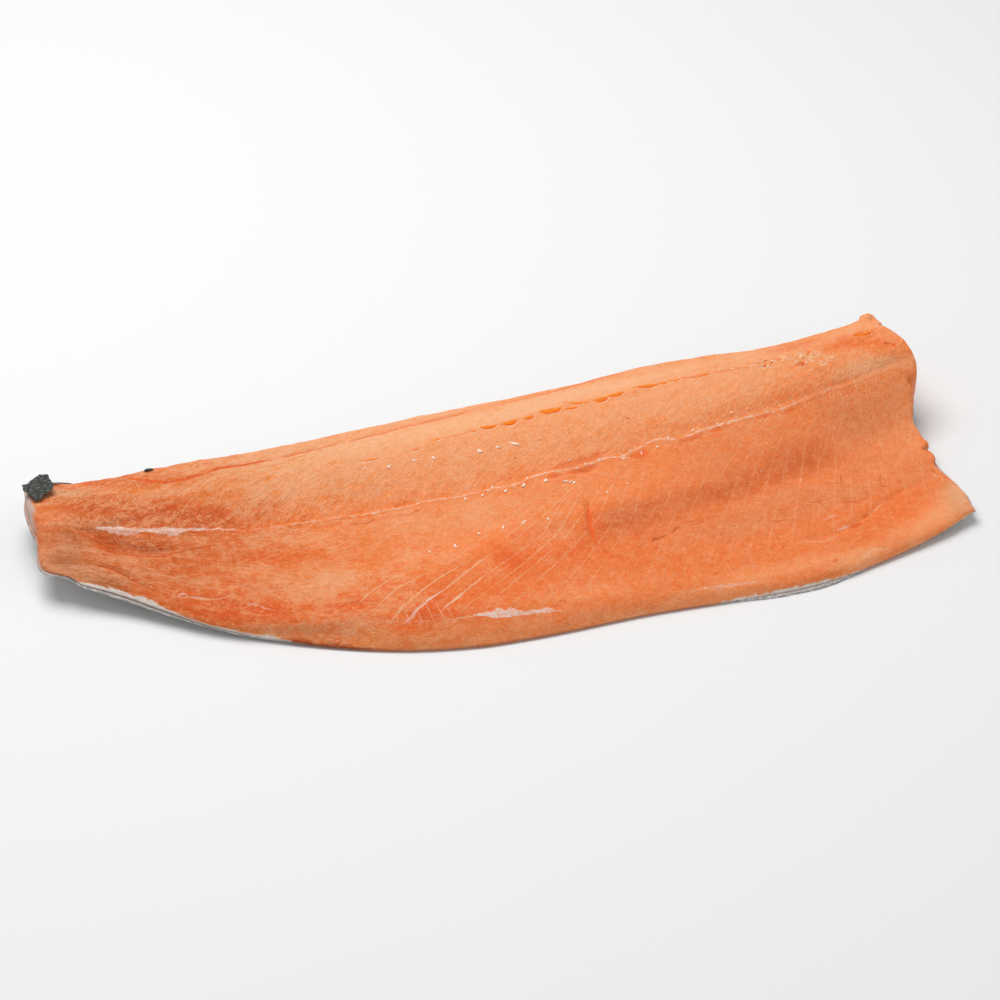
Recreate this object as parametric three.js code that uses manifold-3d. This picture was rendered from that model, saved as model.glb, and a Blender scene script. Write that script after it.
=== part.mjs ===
// A raw side of salmon, boned and laid flesh up: the flesh, and the scaly skin it lies on.
// Millimetres. +X runs from the tail to the head end, +Y from the belly to the back, +Z up.
// The origin is the middle of the bounding box, on the surface that the fillet lies on.
import * as THREE from "three";
import { mergeVertices } from "three/addons/utils/BufferGeometryUtils.js";
import Module from "manifold-3d";

const wasm = await Module();
wasm.setup();

// ---- driving dimensions -------------------------------------------------------------------

const skinThickness = 1.0;
const skinGap = 0.3; // between the skin and the flesh
const underFlesh = skinThickness + skinGap;

// Cross-sections, tail to head. x is the place; back and belly are the two outer edges and
// spine is the line that the backbone left. top holds the heights of the top surface, over the
// belly edge, the belly flap, the belly's hollow, the spine and the crown of the loin, and lift
// is how far the underside stands off the table.
const sections = [
  { x: -217, back: 83, spine: 43, belly: 17, top: [17, 19, 21, 25.5, 27], lift: 14 },
  { x: -193, back: 78.8, spine: 38, belly: 4, top: [12.5, 16.5, 19, 24, 27], lift: 9 },
  { x: -153, back: 81, spine: 23.5, belly: -29, top: [9, 14, 17, 21.5, 26.5], lift: 3 },
  { x: -103, back: 81.5, spine: 15.5, belly: -57, top: [11, 13.5, 16, 20, 27], lift: 0 },
  { x: -43, back: 80.5, spine: 10, belly: -76, top: [11, 15, 18, 22, 30], lift: 0 },
  { x: 37, back: 79, spine: 10.5, belly: -81, top: [9, 14, 18.5, 25, 33], lift: 0 },
  { x: 117, back: 78, spine: 19.5, belly: -84, top: [7, 11, 15, 28, 35], lift: 0 },
  { x: 177, back: 76, spine: 27.5, belly: -71, top: [7, 10, 13, 30, 36], lift: 1.5 },
  { x: 219, back: 80, spine: 35.5, belly: -58, top: [9, 10.5, 14, 33, 38.5], lift: 5 },
];
const tailX = sections[0].x;
const headX = sections[sections.length - 1].x;

// How far the two cut ends stand out of square, against y.
const tailCut = [[17, -0.5], [24, -2], [34, -1.5], [43, 0.5], [58, 0], [76, 1], [83, 3]];
const headCut = [
  [-58, -9.5], [-52, -8], [-33, -9.5], [-7, -9.5], [13, -7.5], [24, -1.5], [33, 2.5], [49, 0], [80, 0],
];
const cutReach = 70; // the length over which a cut's shape dies away

// The bank along the back: a tight round under the rim, then a fuller one down to the table.
const rimRound = 6;
const rimDrop = 7; // from the rim down to the outermost line of the back
const rimFade = 0.06; // the share of the top, next to the rim, over which the relief dies away
const bankReach = [[-217, 9], [-103, 14], [37, 19], [219, 19]]; // how far it draws in below, against x
const rimBelowLoin = [[-217, 3], [-103, 4.5], [37, 6], [219, 6]]; // the rim's height under the loin's crown

// The trimmed belly edge: how far its sloping face reaches in, and how far it swells out.
const edgeFace = [
  [-217, 2.5], [-133, 2.5], [-105, 6], [-83, 12], [-63, 11.5], [-39, 10.5], [1, 8], [61, 5], [219, 3],
];
const edgeSwell = [
  [-217, 0.8], [-139, 0.6], [-121, -1.6], [-97, -1.4], [-81, 1.8], [-61, 1.4], [1, 0.8], [219, 0.6],
];

// Furrows in the flesh: the route, and the depth and half width there. A negative depth is a ridge.
const furrows = [
  // the long cut that runs with the back
  {
    route: [[-158, 65], [-129, 65.5], [-109, 63], [-72, 63.5], [-33, 65.5], [24, 62], [67, 65], [109, 67]],
    depth: 1.6,
    width: 1.7,
  },
  // the dark hollow below the spine at the tail, and the crease below it
  { route: [[-201, 41], [-190, 30.5], [-182, 23.5], [-160, 9.5]], depth: 2.2, width: 3.5 },
  { route: [[-196, 20.5], [-184, 10.5], [-175, 0.5]], depth: 1.3, width: 2 },
  // a pressed line across the belly
  { route: [[31, -11.5], [24, -41.5], [31, -60.5]], depth: 0.9, width: 2.4 },
  // where the flaky muscle breaks off at the smooth belly lining
  { route: [[34, -50.5], [49, -41.5], [62, -40.5], [69, -37.5], [83, -34.5]], depth: 1, width: 1.5 },
  { route: [[187, -34.5], [159, -50.5], [139, -60.5], [131, -63]], depth: 0.9, width: 1.8 },
  // tears in the head end
  { route: [[197, 56.5], [210, 55.5]], depth: 1.6, width: 1.5 },
  { route: [[214, 23], [220, 31]], depth: 2, width: 1.6 },
  // the membrane that stands up along the trimmed edge, and a fold before it
  { route: [[-44, -70], [-27, -71], [-1, -73.5]], depth: -1, width: 1.4 },
  { route: [[-96, -42], [-80, -49], [-65, -62]], depth: 0.9, width: 2 },
];

// The row of slits where the loin has begun to part, and the torn patches beyond it.
const slits = {
  count: 10,
  startX: -4,
  endX: 109,
  startY: 44.3,
  endY: 50.5,
  depth: 2.2,
  width: 1.1,
  filled: 0.72, // the share of the row that is open
};
const tornPatches = [
  { x: 148, y: 48.5, reachX: 9, reachY: 5, depth: 1.1 },
  { x: 172, y: 45, reachX: 9, reachY: 7, depth: 1.3 },
];
const tornPitch = 5.5; // between the crumbs of a torn patch
const cornerNub = { x: 218, y: 71, reach: 5, height: 4.4 };
const spineRidge = { height: 0.9, width: 1.5, offset: -0.8 };
// The soft unevenness of the muscle: a broad wave along and across, and a finer one over it.
const swell = {
  height: 0.45,
  along: 34,
  across: 19,
  slow: 57,
  fineHeight: 0.22,
  fineAlong: 11,
  fineAcross: 15,
};

// The skin: how far up the bank it reaches, 0 at the table to 1 at the rim, and how far it
// stands out beyond the flesh.
const skinClimb = [[-217, 0.97], [-205, 0.9], [-195, 0.74], [-149, 0.66], [-79, 0.6], [219, 0.6]];
const skinMargin = [
  [-217, 1], [-197, 2], [-169, 1.6], [-149, 0.8], [101, 0.8], [131, 2.2], [151, 1], [219, 0.8],
];
const skinPastTail = 1;
const skinPastHead = 0.6;

// The flap of skin turned up over the back corner of the tail.
const flap = {
  x: -210.3,
  footWidth: 8,
  midWidth: 12.5,
  tipWidth: 2.5,
  reach: 23, // inwards over the flesh
  rise: 3.6, // how high it arches
  clear: 0.7, // over the flesh at its tip
  ragged: 0.7,
  footDrop: 6, // its foot below the rim
  climbShare: 0.38, // the share of its length that climbs the bank
};

const lengthSteps = 92; // along the fillet
const bankSteps = 6;
const rimSteps = 4;
const bottomSteps = 4;
const faceSteps = 3;
const flapSteps = 12;
// Places across the top, 0 at the belly edge, 0.5 on the spine and 1 at the rim, closer together
// at the spine, the slits and the long cut.
const acrossTop = [
  0, 0.05, 0.11, 0.18, 0.25, 0.32, 0.39, 0.45, 0.48, 0.5, 0.525, 0.57,
  0.63, 0.69, 0.74, 0.77, 0.79, 0.81, 0.84, 0.875, 0.9, 0.925, 0.955, 1,
];
// The heights of a section stand at these places across the top.
const heightPlaces = [0, 0.2, 0.36, 0.5, 0.74, 1];

// ---- curves -------------------------------------------------------------------------------

// Evenly spaced places, both ends included.
function stations(from, to, steps) {
  return Array.from({ length: steps + 1 }, (_, i) => from + ((to - from) * i) / steps);
}

// The smooth curve through points [place, value], held level past its ends.
function smooth(points) {
  const last = points.length - 1;
  const slope = points.slice(1).map((p, i) => (p[1] - points[i][1]) / (p[0] - points[i][0]));
  const gap = points.slice(1).map((p, i) => p[0] - points[i][0]);
  const lean = points.map((_, i) => {
    if (i === 0) return slope[0];
    if (i === last) return slope[last - 1];
    return (slope[i - 1] * gap[i] + slope[i] * gap[i - 1]) / (gap[i - 1] + gap[i]);
  });
  return (place) => {
    const at = Math.min(Math.max(place, points[0][0]), points[last][0]);
    let i = 0;
    while (i < last - 1 && at > points[i + 1][0]) i += 1;
    const t = (at - points[i][0]) / gap[i];
    const rest = 1 - t;
    return (
      points[i][1] * (1 + 2 * t) * rest * rest +
      lean[i] * gap[i] * t * rest * rest +
      points[i + 1][1] * t * t * (3 - 2 * t) -
      lean[i + 1] * gap[i] * t * t * rest
    );
  };
}

const sectionCurve = (key) => smooth(sections.map((s) => [s.x, s[key]]));
const backY = sectionCurve("back");
const spineY = sectionCurve("spine");
const bellyY = sectionCurve("belly");
const liftCurve = sectionCurve("lift");
const liftZ = (x) => Math.max(0, liftCurve(x));
const heights = sections[0].top.map((_, i) => smooth(sections.map((s) => [s.x, s.top[i]])));
const loinZ = heights[heights.length - 1];
const rimUnder = smooth(rimBelowLoin);
const rimZ = (x) => loinZ(x) - rimUnder(x);
const bankIn = smooth(bankReach);
const faceIn = smooth(edgeFace);
const faceOut = smooth(edgeSwell);
const climb = smooth(skinClimb);
const margin = smooth(skinMargin);
const tailShape = smooth(tailCut);
const headShape = smooth(headCut);

// Where a point that belongs to the section at x really stands, once the ends are cut.
function cutX(x, y) {
  const share = (distance) => Math.min(Math.max(1 - distance / cutReach, 0), 1) ** 1.5;
  return x + tailShape(y) * share(x - tailX) + headShape(y) * share(headX - x);
}

// ---- relief -------------------------------------------------------------------------------

const bell = (distance, width) => Math.exp(-((distance / width) ** 2));

function distanceTo(route, x, y) {
  let nearest = Infinity;
  for (let i = 1; i < route.length; i += 1) {
    const [ax, ay] = route[i - 1];
    const [bx, by] = route[i];
    const along = ((x - ax) * (bx - ax) + (y - ay) * (by - ay)) / ((bx - ax) ** 2 + (by - ay) ** 2);
    const held = Math.min(Math.max(along, 0), 1);
    nearest = Math.min(nearest, Math.hypot(x - ax - held * (bx - ax), y - ay - held * (by - ay)));
  }
  return nearest;
}

function slitDepth(x, y) {
  const along = (x - slits.startX) / (slits.endX - slits.startX);
  const number = along * slits.count;
  if (along < 0 || along > 1) return 0;
  const fromMiddle = Math.abs((number % 1) - 0.5) / (slits.filled / 2);
  if (fromMiddle > 1) return 0;
  const rowY = slits.startY + along * (slits.endY - slits.startY);
  return slits.depth * Math.sqrt(1 - fromMiddle) * bell(y - rowY, slits.width);
}

function tornDepth(x, y) {
  return tornPatches.reduce((sum, patch) => {
    const within = bell(x - patch.x, patch.reachX) * bell(y - patch.y, patch.reachY);
    const crumbs = Math.sin((2 * Math.PI * x) / tornPitch) * Math.cos((2 * Math.PI * y) / (tornPitch * 1.3));
    return sum + patch.depth * within * (1 + crumbs);
  }, 0);
}

function relief(x, y) {
  const ridge = spineRidge.height * bell(y - spineY(x) - spineRidge.offset, spineRidge.width);
  const nub = cornerNub.height * bell(Math.hypot(x - cornerNub.x, y - cornerNub.y), cornerNub.reach);
  const broad = Math.sin(x / swell.along + y / swell.across) * Math.cos(y / swell.along - x / swell.slow);
  const fine = Math.sin(x / swell.fineAlong - y / swell.fineAcross);
  const soft = swell.height * broad + swell.fineHeight * fine;
  const carved = furrows.reduce((sum, f) => sum + f.depth * bell(distanceTo(f.route, x, y), f.width), 0);
  return ridge + nub + soft - carved - slitDepth(x, y) - tornDepth(x, y);
}

// ---- cross-sections -----------------------------------------------------------------------

// The top surface: y and z at a place across the section at x.
function topPoint(x, across) {
  const low = bellyY(x) + faceIn(x);
  const middle = spineY(x);
  const high = backY(x) - rimRound;
  const y = across < 0.5 ? low + (middle - low) * across * 2 : middle + (high - middle) * (across - 0.5) * 2;
  const values = [...heights.map((h) => h(x)), rimZ(x)];
  const z = smooth(heightPlaces.map((place, i) => [place, values[i]]))(across);
  const fade = Math.min(1, (1 - across) / rimFade);
  return [y, z + relief(cutX(x, y), y) * fade];
}

// The bank of the back: 0 at the table, 1 at the rim, grown outwards by `out`.
function bankPoint(x, rise, out) {
  const outermost = backY(x);
  const base = liftZ(x) + underFlesh;
  const lowSpan = rimZ(x) - rimDrop - base;
  const split = bankSteps / (bankSteps + rimSteps);
  if (rise <= split) {
    const angle = (rise / split) * (Math.PI / 2);
    const reach = bankIn(x);
    return [
      outermost - reach + (reach + out) * Math.sin(angle),
      base + lowSpan - (lowSpan + out) * Math.cos(angle),
    ];
  }
  const angle = ((rise - split) / (1 - split)) * (Math.PI / 2);
  return [
    outermost - rimRound + (rimRound + out) * Math.cos(angle),
    rimZ(x) - rimDrop + (rimDrop + out) * Math.sin(angle),
  ];
}

// The flesh's outline at x, once round: across the top, down the bank, back underneath and up
// the trimmed edge.
function fleshOutline(x) {
  const base = liftZ(x) + underFlesh;
  const outline = acrossTop.map((across) => topPoint(x, across));
  const turns = bankSteps + rimSteps;
  for (let i = turns - 1; i >= 0; i -= 1) outline.push(bankPoint(x, i / turns, 0));
  const [bankFoot] = outline[outline.length - 1];
  const bottom = stations(bankFoot, bellyY(x), bottomSteps).slice(1);
  outline.push(...bottom.map((y) => [y, base]));
  const [edgeY, edgeZ] = outline[0];
  for (let i = 1; i < faceSteps; i += 1) {
    const up = i / faceSteps;
    const out = faceOut(x) * Math.sin(Math.PI * up);
    outline.push([bellyY(x) + (edgeY - bellyY(x)) * up - out, base + (edgeZ - base) * up + out / 2]);
  }
  return outline;
}

// The skin's outline at x: out along its inner face and back along its outer one.
function skinOutline(x) {
  const top = climb(x);
  const foot = backY(x) - bankIn(x);
  const start = bellyY(x) - margin(x);
  const upSteps = bankSteps + rimSteps;
  const face = (out) => {
    const z = liftZ(x) + underFlesh - out;
    const bottom = stations(start, foot, bottomSteps).slice(0, -1);
    const bank = stations(0, top, upSteps);
    return [...bottom.map((y) => [y, z]), ...bank.map((rise) => bankPoint(x, rise, out))];
  };
  return [...face(skinGap), ...face(underFlesh).reverse()];
}

// ---- solids -------------------------------------------------------------------------------

const sideways = ([, y, z]) => new THREE.Vector2(y, z);
const slanting = ([x, y, z]) => new THREE.Vector2(x, y + z);

// A solid through outlines that all have the same number of points, closed at both ends. Each
// outline runs clockwise as seen from the last one; `flat` lays an end out on a plane.
function loft(rings, flat) {
  const around = rings[0].length;
  const positions = rings.flat(2);
  const indices = [];
  for (let r = 0; r < rings.length - 1; r += 1) {
    for (let i = 0; i < around; i += 1) {
      const a = r * around + i;
      const b = r * around + ((i + 1) % around);
      indices.push(a, a + around, b, b, a + around, b + around);
    }
  }
  [0, rings.length - 1].forEach((r) => {
    const outline = rings[r].map(flat);
    const clockwise = THREE.ShapeUtils.isClockWise(outline);
    THREE.ShapeUtils.triangulateShape(outline, []).forEach((corners) => {
      const sameWay = THREE.ShapeUtils.isClockWise(corners.map((i) => outline[i])) === clockwise;
      const order = sameWay === (r === 0) ? corners : [...corners].reverse();
      indices.push(...order.map((i) => r * around + i));
    });
  });
  const geometry = new THREE.BufferGeometry();
  geometry.setAttribute("position", new THREE.Float32BufferAttribute(positions, 3));
  geometry.setIndex(indices);
  return geometry;
}

function solidOf(geometry) {
  const bare = geometry.clone();
  bare.deleteAttribute("normal");
  bare.deleteAttribute("uv");
  const merged = mergeVertices(bare, 1e-4);
  return new wasm.Manifold(
    new wasm.Mesh({
      numProp: 3,
      vertProperties: new Float32Array(merged.attributes.position.array),
      triVerts: new Uint32Array(merged.index.array),
    }),
  );
}

function geometryOf(solid) {
  const mesh = solid.getMesh();
  const geometry = new THREE.BufferGeometry();
  geometry.setAttribute("position", new THREE.BufferAttribute(mesh.vertProperties, 3));
  geometry.setIndex(new THREE.BufferAttribute(mesh.triVerts, 1));
  return geometry;
}

// The ring of points that the outline at x makes, once the ends are cut.
const ringAt = (x, outline) => outline(x).map(([y, z]) => [cutX(x, y), y, z]);

function fleshGeometry() {
  return loft(stations(tailX, headX, lengthSteps).map((x) => ringAt(x, fleshOutline)), sideways);
}

function skinSheetGeometry() {
  const places = [tailX - skinPastTail, ...stations(tailX, headX, lengthSteps), headX + skinPastHead];
  return loft(places.map((x) => ringAt(x, skinOutline)), sideways);
}

// The line that the turned-up flap follows at x: off the skin on the bank, over the corner of
// the flesh and down on it.
function flapRoute(step, x) {
  const along = step / flapSteps;
  const foot = rimZ(x) - flap.footDrop;
  const inward = flap.reach * along ** 2;
  const topWidth = backY(x) - rimRound - spineY(x);
  const across = 1 - (0.5 * Math.max(0, inward - rimRound)) / topWidth;
  const resting = topPoint(x, across)[1] + flap.clear + skinThickness / 2;
  const climbed = Math.min(1, along / flap.climbShare);
  const arch = flap.rise * Math.sin(Math.PI * along ** 0.8);
  return [backY(x) + (skinGap + underFlesh) / 2 - inward, foot + (resting - foot + arch) * climbed];
}

// The flap widens from its foot and narrows to its tip, with ragged sides.
function flapWidth(step) {
  const along = step / flapSteps;
  const straight = flap.footWidth + (flap.tipWidth - flap.footWidth) * along;
  const fuller = flap.midWidth - (flap.footWidth + flap.tipWidth) / 2;
  return straight + 4 * along * (1 - along) * fuller + (step % 2 ? flap.ragged : -flap.ragged);
}

// A point of the flap: side from -1 to 1 across it, face 1 on top and -1 below.
function flapPoint(step, side, face) {
  const x = flap.x + (side * flapWidth(step)) / 2;
  const [y, z] = flapRoute(step, x);
  const [beforeY, beforeZ] = flapRoute(Math.max(step - 1, 0), x);
  const [afterY, afterZ] = flapRoute(Math.min(step + 1, flapSteps), x);
  const half = (face * skinThickness) / 2 / Math.hypot(afterY - beforeY, afterZ - beforeZ);
  return [cutX(x, y), y + (afterZ - beforeZ) * half, z + (beforeY - afterY) * half];
}

function flapGeometry() {
  const corners = [[-1, 1], [0, 1], [1, 1], [1, -1], [0, -1], [-1, -1]];
  const steps = stations(0, flapSteps, flapSteps);
  return loft(steps.map((step) => corners.map(([side, face]) => flapPoint(step, side, face))), slanting);
}

function skinGeometry() {
  return geometryOf(solidOf(skinSheetGeometry()).add(solidOf(flapGeometry())));
}

// ---- the fillet ---------------------------------------------------------------------------

function piece(name, geometry, colour, roughness) {
  const faceted = geometry.toNonIndexed();
  faceted.computeVertexNormals();
  const material = new THREE.MeshStandardMaterial({ color: colour, roughness, metalness: 0 });
  const mesh = new THREE.Mesh(faceted, material);
  mesh.name = name;
  return mesh;
}

const fillet = new THREE.Group();
fillet.name = "salmon_fillet";
fillet.add(piece("flesh", fleshGeometry(), 0xea8752, 0.45));
fillet.add(piece("skin", skinGeometry(), 0x55534e, 0.4));

export default fillet;
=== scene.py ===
import math

import bpy
import numpy as np
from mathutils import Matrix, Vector


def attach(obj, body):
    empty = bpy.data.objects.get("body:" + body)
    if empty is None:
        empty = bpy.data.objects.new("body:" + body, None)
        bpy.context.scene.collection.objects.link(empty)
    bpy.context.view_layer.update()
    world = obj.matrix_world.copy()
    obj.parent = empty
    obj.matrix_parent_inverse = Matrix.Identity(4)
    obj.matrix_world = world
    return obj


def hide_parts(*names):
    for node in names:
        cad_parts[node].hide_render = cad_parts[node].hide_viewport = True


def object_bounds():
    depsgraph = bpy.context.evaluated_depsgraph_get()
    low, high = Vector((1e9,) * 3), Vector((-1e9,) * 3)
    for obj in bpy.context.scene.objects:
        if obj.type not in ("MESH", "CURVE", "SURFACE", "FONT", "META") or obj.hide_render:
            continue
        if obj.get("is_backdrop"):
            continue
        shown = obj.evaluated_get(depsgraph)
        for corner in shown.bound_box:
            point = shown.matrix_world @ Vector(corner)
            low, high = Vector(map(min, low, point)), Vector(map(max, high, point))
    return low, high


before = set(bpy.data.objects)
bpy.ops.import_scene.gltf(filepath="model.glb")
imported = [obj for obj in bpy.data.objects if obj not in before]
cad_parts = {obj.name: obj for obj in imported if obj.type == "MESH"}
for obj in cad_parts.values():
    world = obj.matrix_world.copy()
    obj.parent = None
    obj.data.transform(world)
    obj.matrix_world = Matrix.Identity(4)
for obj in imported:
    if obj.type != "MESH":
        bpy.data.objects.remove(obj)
cadBox = [list(corner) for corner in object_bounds()]
mm = 0.001
print("frame loaded:", sorted(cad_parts))

# shapes are worked out in millimetres and go into the meshes in metres


def knotLeans(gap, slope):
    # how the curve leans at each of its points
    inner = (slope[..., :-1] * gap[1:] + slope[..., 1:] * gap[:-1]) / (gap[:-1] + gap[1:])
    return np.concatenate((slope[..., :1], inner, slope[..., -1:]), -1)


def between(t, gap, low, high, lowLean, highLean):
    rest = 1 - t
    return (low * (1 + 2 * t) * rest ** 2 + lowLean * gap * t * rest ** 2
            + high * t * t * (3 - 2 * t) - highLean * gap * t * t * rest)


def smoothCurve(points):
    # a soft curve through [place, value] points, level past its ends
    at, value = np.array(points, float).T
    gap = np.diff(at)
    lean = knotLeans(gap, np.diff(value) / gap)

    def curve(place):
        place = np.clip(place, at[0], at[-1])
        i = np.clip(np.searchsorted(at, place, side="left") - 1, 0, len(gap) - 1)
        return between((place - at[i]) / gap[i], gap[i], value[i], value[i + 1], lean[i], lean[i + 1])
    return curve


def bell(distance, width):
    return np.exp(-(distance / width) ** 2)


def ramp(value, low, high):
    # 0 below low, 1 above high, eased between
    t = np.clip((value - low) / (high - low), 0, 1)
    return t * t * (3 - 2 * t)


noiseTable = np.random.default_rng(11).random((256, 256))


def patchNoise(u, v, shift=0):
    # soft random patches about one unit wide, -1 to 1
    u, v = u + 17.3 * shift, v + 41.7 * shift
    i, j = np.floor(u).astype(int), np.floor(v).astype(int)
    s, t = u - i, v - j
    s, t = s * s * s * (s * (6 * s - 15) + 10), t * t * t * (t * (6 * t - 15) + 10)
    corner = lambda a, b: noiseTable[(i + a) % 256, (j + b) % 256]
    low = corner(0, 0) + (corner(1, 0) - corner(0, 0)) * s
    high = corner(0, 1) + (corner(1, 1) - corner(0, 1)) * s
    return 2 * (low + (high - low) * t) - 1


def roughNoise(u, v, layers=3, shift=0):
    total = sum(patchNoise(u * 2 ** k, v * 2 ** k, shift + 5 * k) / 2 ** k for k in range(layers))
    return total / (2 - 2.0 ** (1 - layers))


def nearRoute(route, x, y):
    # distance to a polyline, how far along it that is (0 to 1), and 1 on its left or -1 on its right
    route = np.array(route, float)
    steps = np.hypot(*np.diff(route, axis=0).T)
    before = np.concatenate(([0], np.cumsum(steps)))
    distance, along, side = np.full(x.shape, 1e9), np.zeros(x.shape), np.ones(x.shape)
    for (ax, ay), (bx, by), start, length in zip(route[:-1], route[1:], before, steps):
        share = np.clip(((x - ax) * (bx - ax) + (y - ay) * (by - ay)) / length ** 2, 0, 1)
        here = np.hypot(x - ax - share * (bx - ax), y - ay - share * (by - ay))
        closer = here < distance
        distance = np.where(closer, here, distance)
        along = np.where(closer, (start + share * length) / before[-1], along)
        side = np.where(closer, np.sign((bx - ax) * (y - ay) - (by - ay) * (x - ax)), side)
    return distance, along, side


# the same sections as the solids
sideShape = {
    # x, back, spine, belly, heights over belly edge / flap / hollow / spine / loin, lift off the table
    "sections": [
        (-217, 83, 43, 17, (17, 19, 21, 25.5, 27), 14),
        (-193, 78.8, 38, 4, (12.5, 16.5, 19, 24, 27), 9),
        (-153, 81, 23.5, -29, (9, 14, 17, 21.5, 26.5), 3),
        (-103, 81.5, 15.5, -57, (11, 13.5, 16, 20, 27), 0),
        (-43, 80.5, 10, -76, (11, 15, 18, 22, 30), 0),
        (37, 79, 10.5, -81, (9, 14, 18.5, 25, 33), 0),
        (117, 78, 19.5, -84, (7, 11, 15, 28, 35), 0),
        (177, 76, 27.5, -71, (7, 10, 13, 30, 36), 1.5),
        (219, 80, 35.5, -58, (9, 10.5, 14, 33, 38.5), 5),
    ],
    "heightPlaces": (0, 0.2, 0.36, 0.5, 0.74, 1),
    "tailCut": [(17, -0.5), (24, -2), (34, -1.5), (43, 0.5), (58, 0), (76, 1), (83, 3)],
    "headCut": [(-58, -9.5), (-52, -8), (-33, -9.5), (-7, -9.5), (13, -7.5), (24, -1.5), (33, 2.5), (49, 0),
                (80, 0)],
    "cutReach": 70,
    "rimRound": 6,
    "rimDrop": 7,
    "bankReach": [(-217, 9), (-103, 14), (37, 19), (219, 19)],
    "rimBelowLoin": [(-217, 3), (-103, 4.5), (37, 6), (219, 6)],
    "edgeFace": [(-217, 2.5), (-133, 2.5), (-105, 6), (-83, 12), (-63, 11.5), (-39, 10.5), (1, 8), (61, 5),
                 (219, 3)],
    "edgeSwell": [(-217, 0.8), (-139, 0.6), (-121, -1.6), (-97, -1.4), (-81, 1.8), (-61, 1.4), (1, 0.8),
                  (219, 0.6)],
    "underFlesh": 1.3,
}
sections = sideShape["sections"]
tailX, headX = sections[0][0], sections[-1][0]
backY, spineY, bellyY = (smoothCurve([(s[0], s[k]) for s in sections]) for k in (1, 2, 3))
topHeights = [smoothCurve([(s[0], s[4][k]) for s in sections]) for k in range(5)]
liftCurve = smoothCurve([(s[0], s[5]) for s in sections])
rimUnder = smoothCurve(sideShape["rimBelowLoin"])
bankIn = smoothCurve(sideShape["bankReach"])
faceIn = smoothCurve(sideShape["edgeFace"])
faceOut = smoothCurve(sideShape["edgeSwell"])
tailShape, headShape = smoothCurve(sideShape["tailCut"]), smoothCurve(sideShape["headCut"])
rimRound, rimDrop = sideShape["rimRound"], sideShape["rimDrop"]


def baseZ(x):
    return np.maximum(0, liftCurve(x)) + sideShape["underFlesh"]


def rimZ(x):
    return topHeights[4](x) - rimUnder(x)


def cutX(x, y):
    share = lambda distance: np.clip(1 - distance / sideShape["cutReach"], 0, 1) ** 1.5
    return x + tailShape(y) * share(x - tailX) + headShape(y) * share(headX - x)


def topY(x, across):
    low, middle, high = bellyY(x) + faceIn(x), spineY(x), backY(x) - rimRound
    upper = middle + (high - middle) * (across - 0.5) * 2
    return np.where(across < 0.5, low + (middle - low) * across * 2, upper)


def topZ(x, across):
    places = np.array(sideShape["heightPlaces"])
    values = np.stack([h(x) for h in topHeights] + [rimZ(x)], -1)
    gap = np.diff(places)
    lean = knotLeans(gap, np.diff(values, axis=-1) / gap)
    i = np.clip(np.searchsorted(places, across, side="left") - 1, 0, len(gap) - 1)
    pick = lambda table, at: np.take_along_axis(table, at[..., None], -1)[..., 0]
    return between((across - places[i]) / gap[i], gap[i], pick(values, i), pick(values, i + 1),
                   pick(lean, i), pick(lean, i + 1))


def bankPoint(x, rise, out=0.0, lowShare=0.6):
    # the bank of the back, 0 at the table and 1 at the rim, grown outwards by out
    base, top, back = baseZ(x), rimZ(x), backY(x)
    lowSpan = top - rimDrop - base
    reach = bankIn(x)
    low = np.clip(rise / lowShare, 0, 1) * math.pi / 2
    high = np.clip((rise - lowShare) / (1 - lowShare), 0, 1) * math.pi / 2
    lowY, lowZ = back - reach + (reach + out) * np.sin(low), base + lowSpan - (lowSpan + out) * np.cos(low)
    highY = back - rimRound + (rimRound + out) * np.cos(high)
    highZ = top - rimDrop + (rimDrop + out) * np.sin(high)
    return np.where(rise <= lowShare, lowY, highY), np.where(rise <= lowShare, lowZ, highZ)


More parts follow.
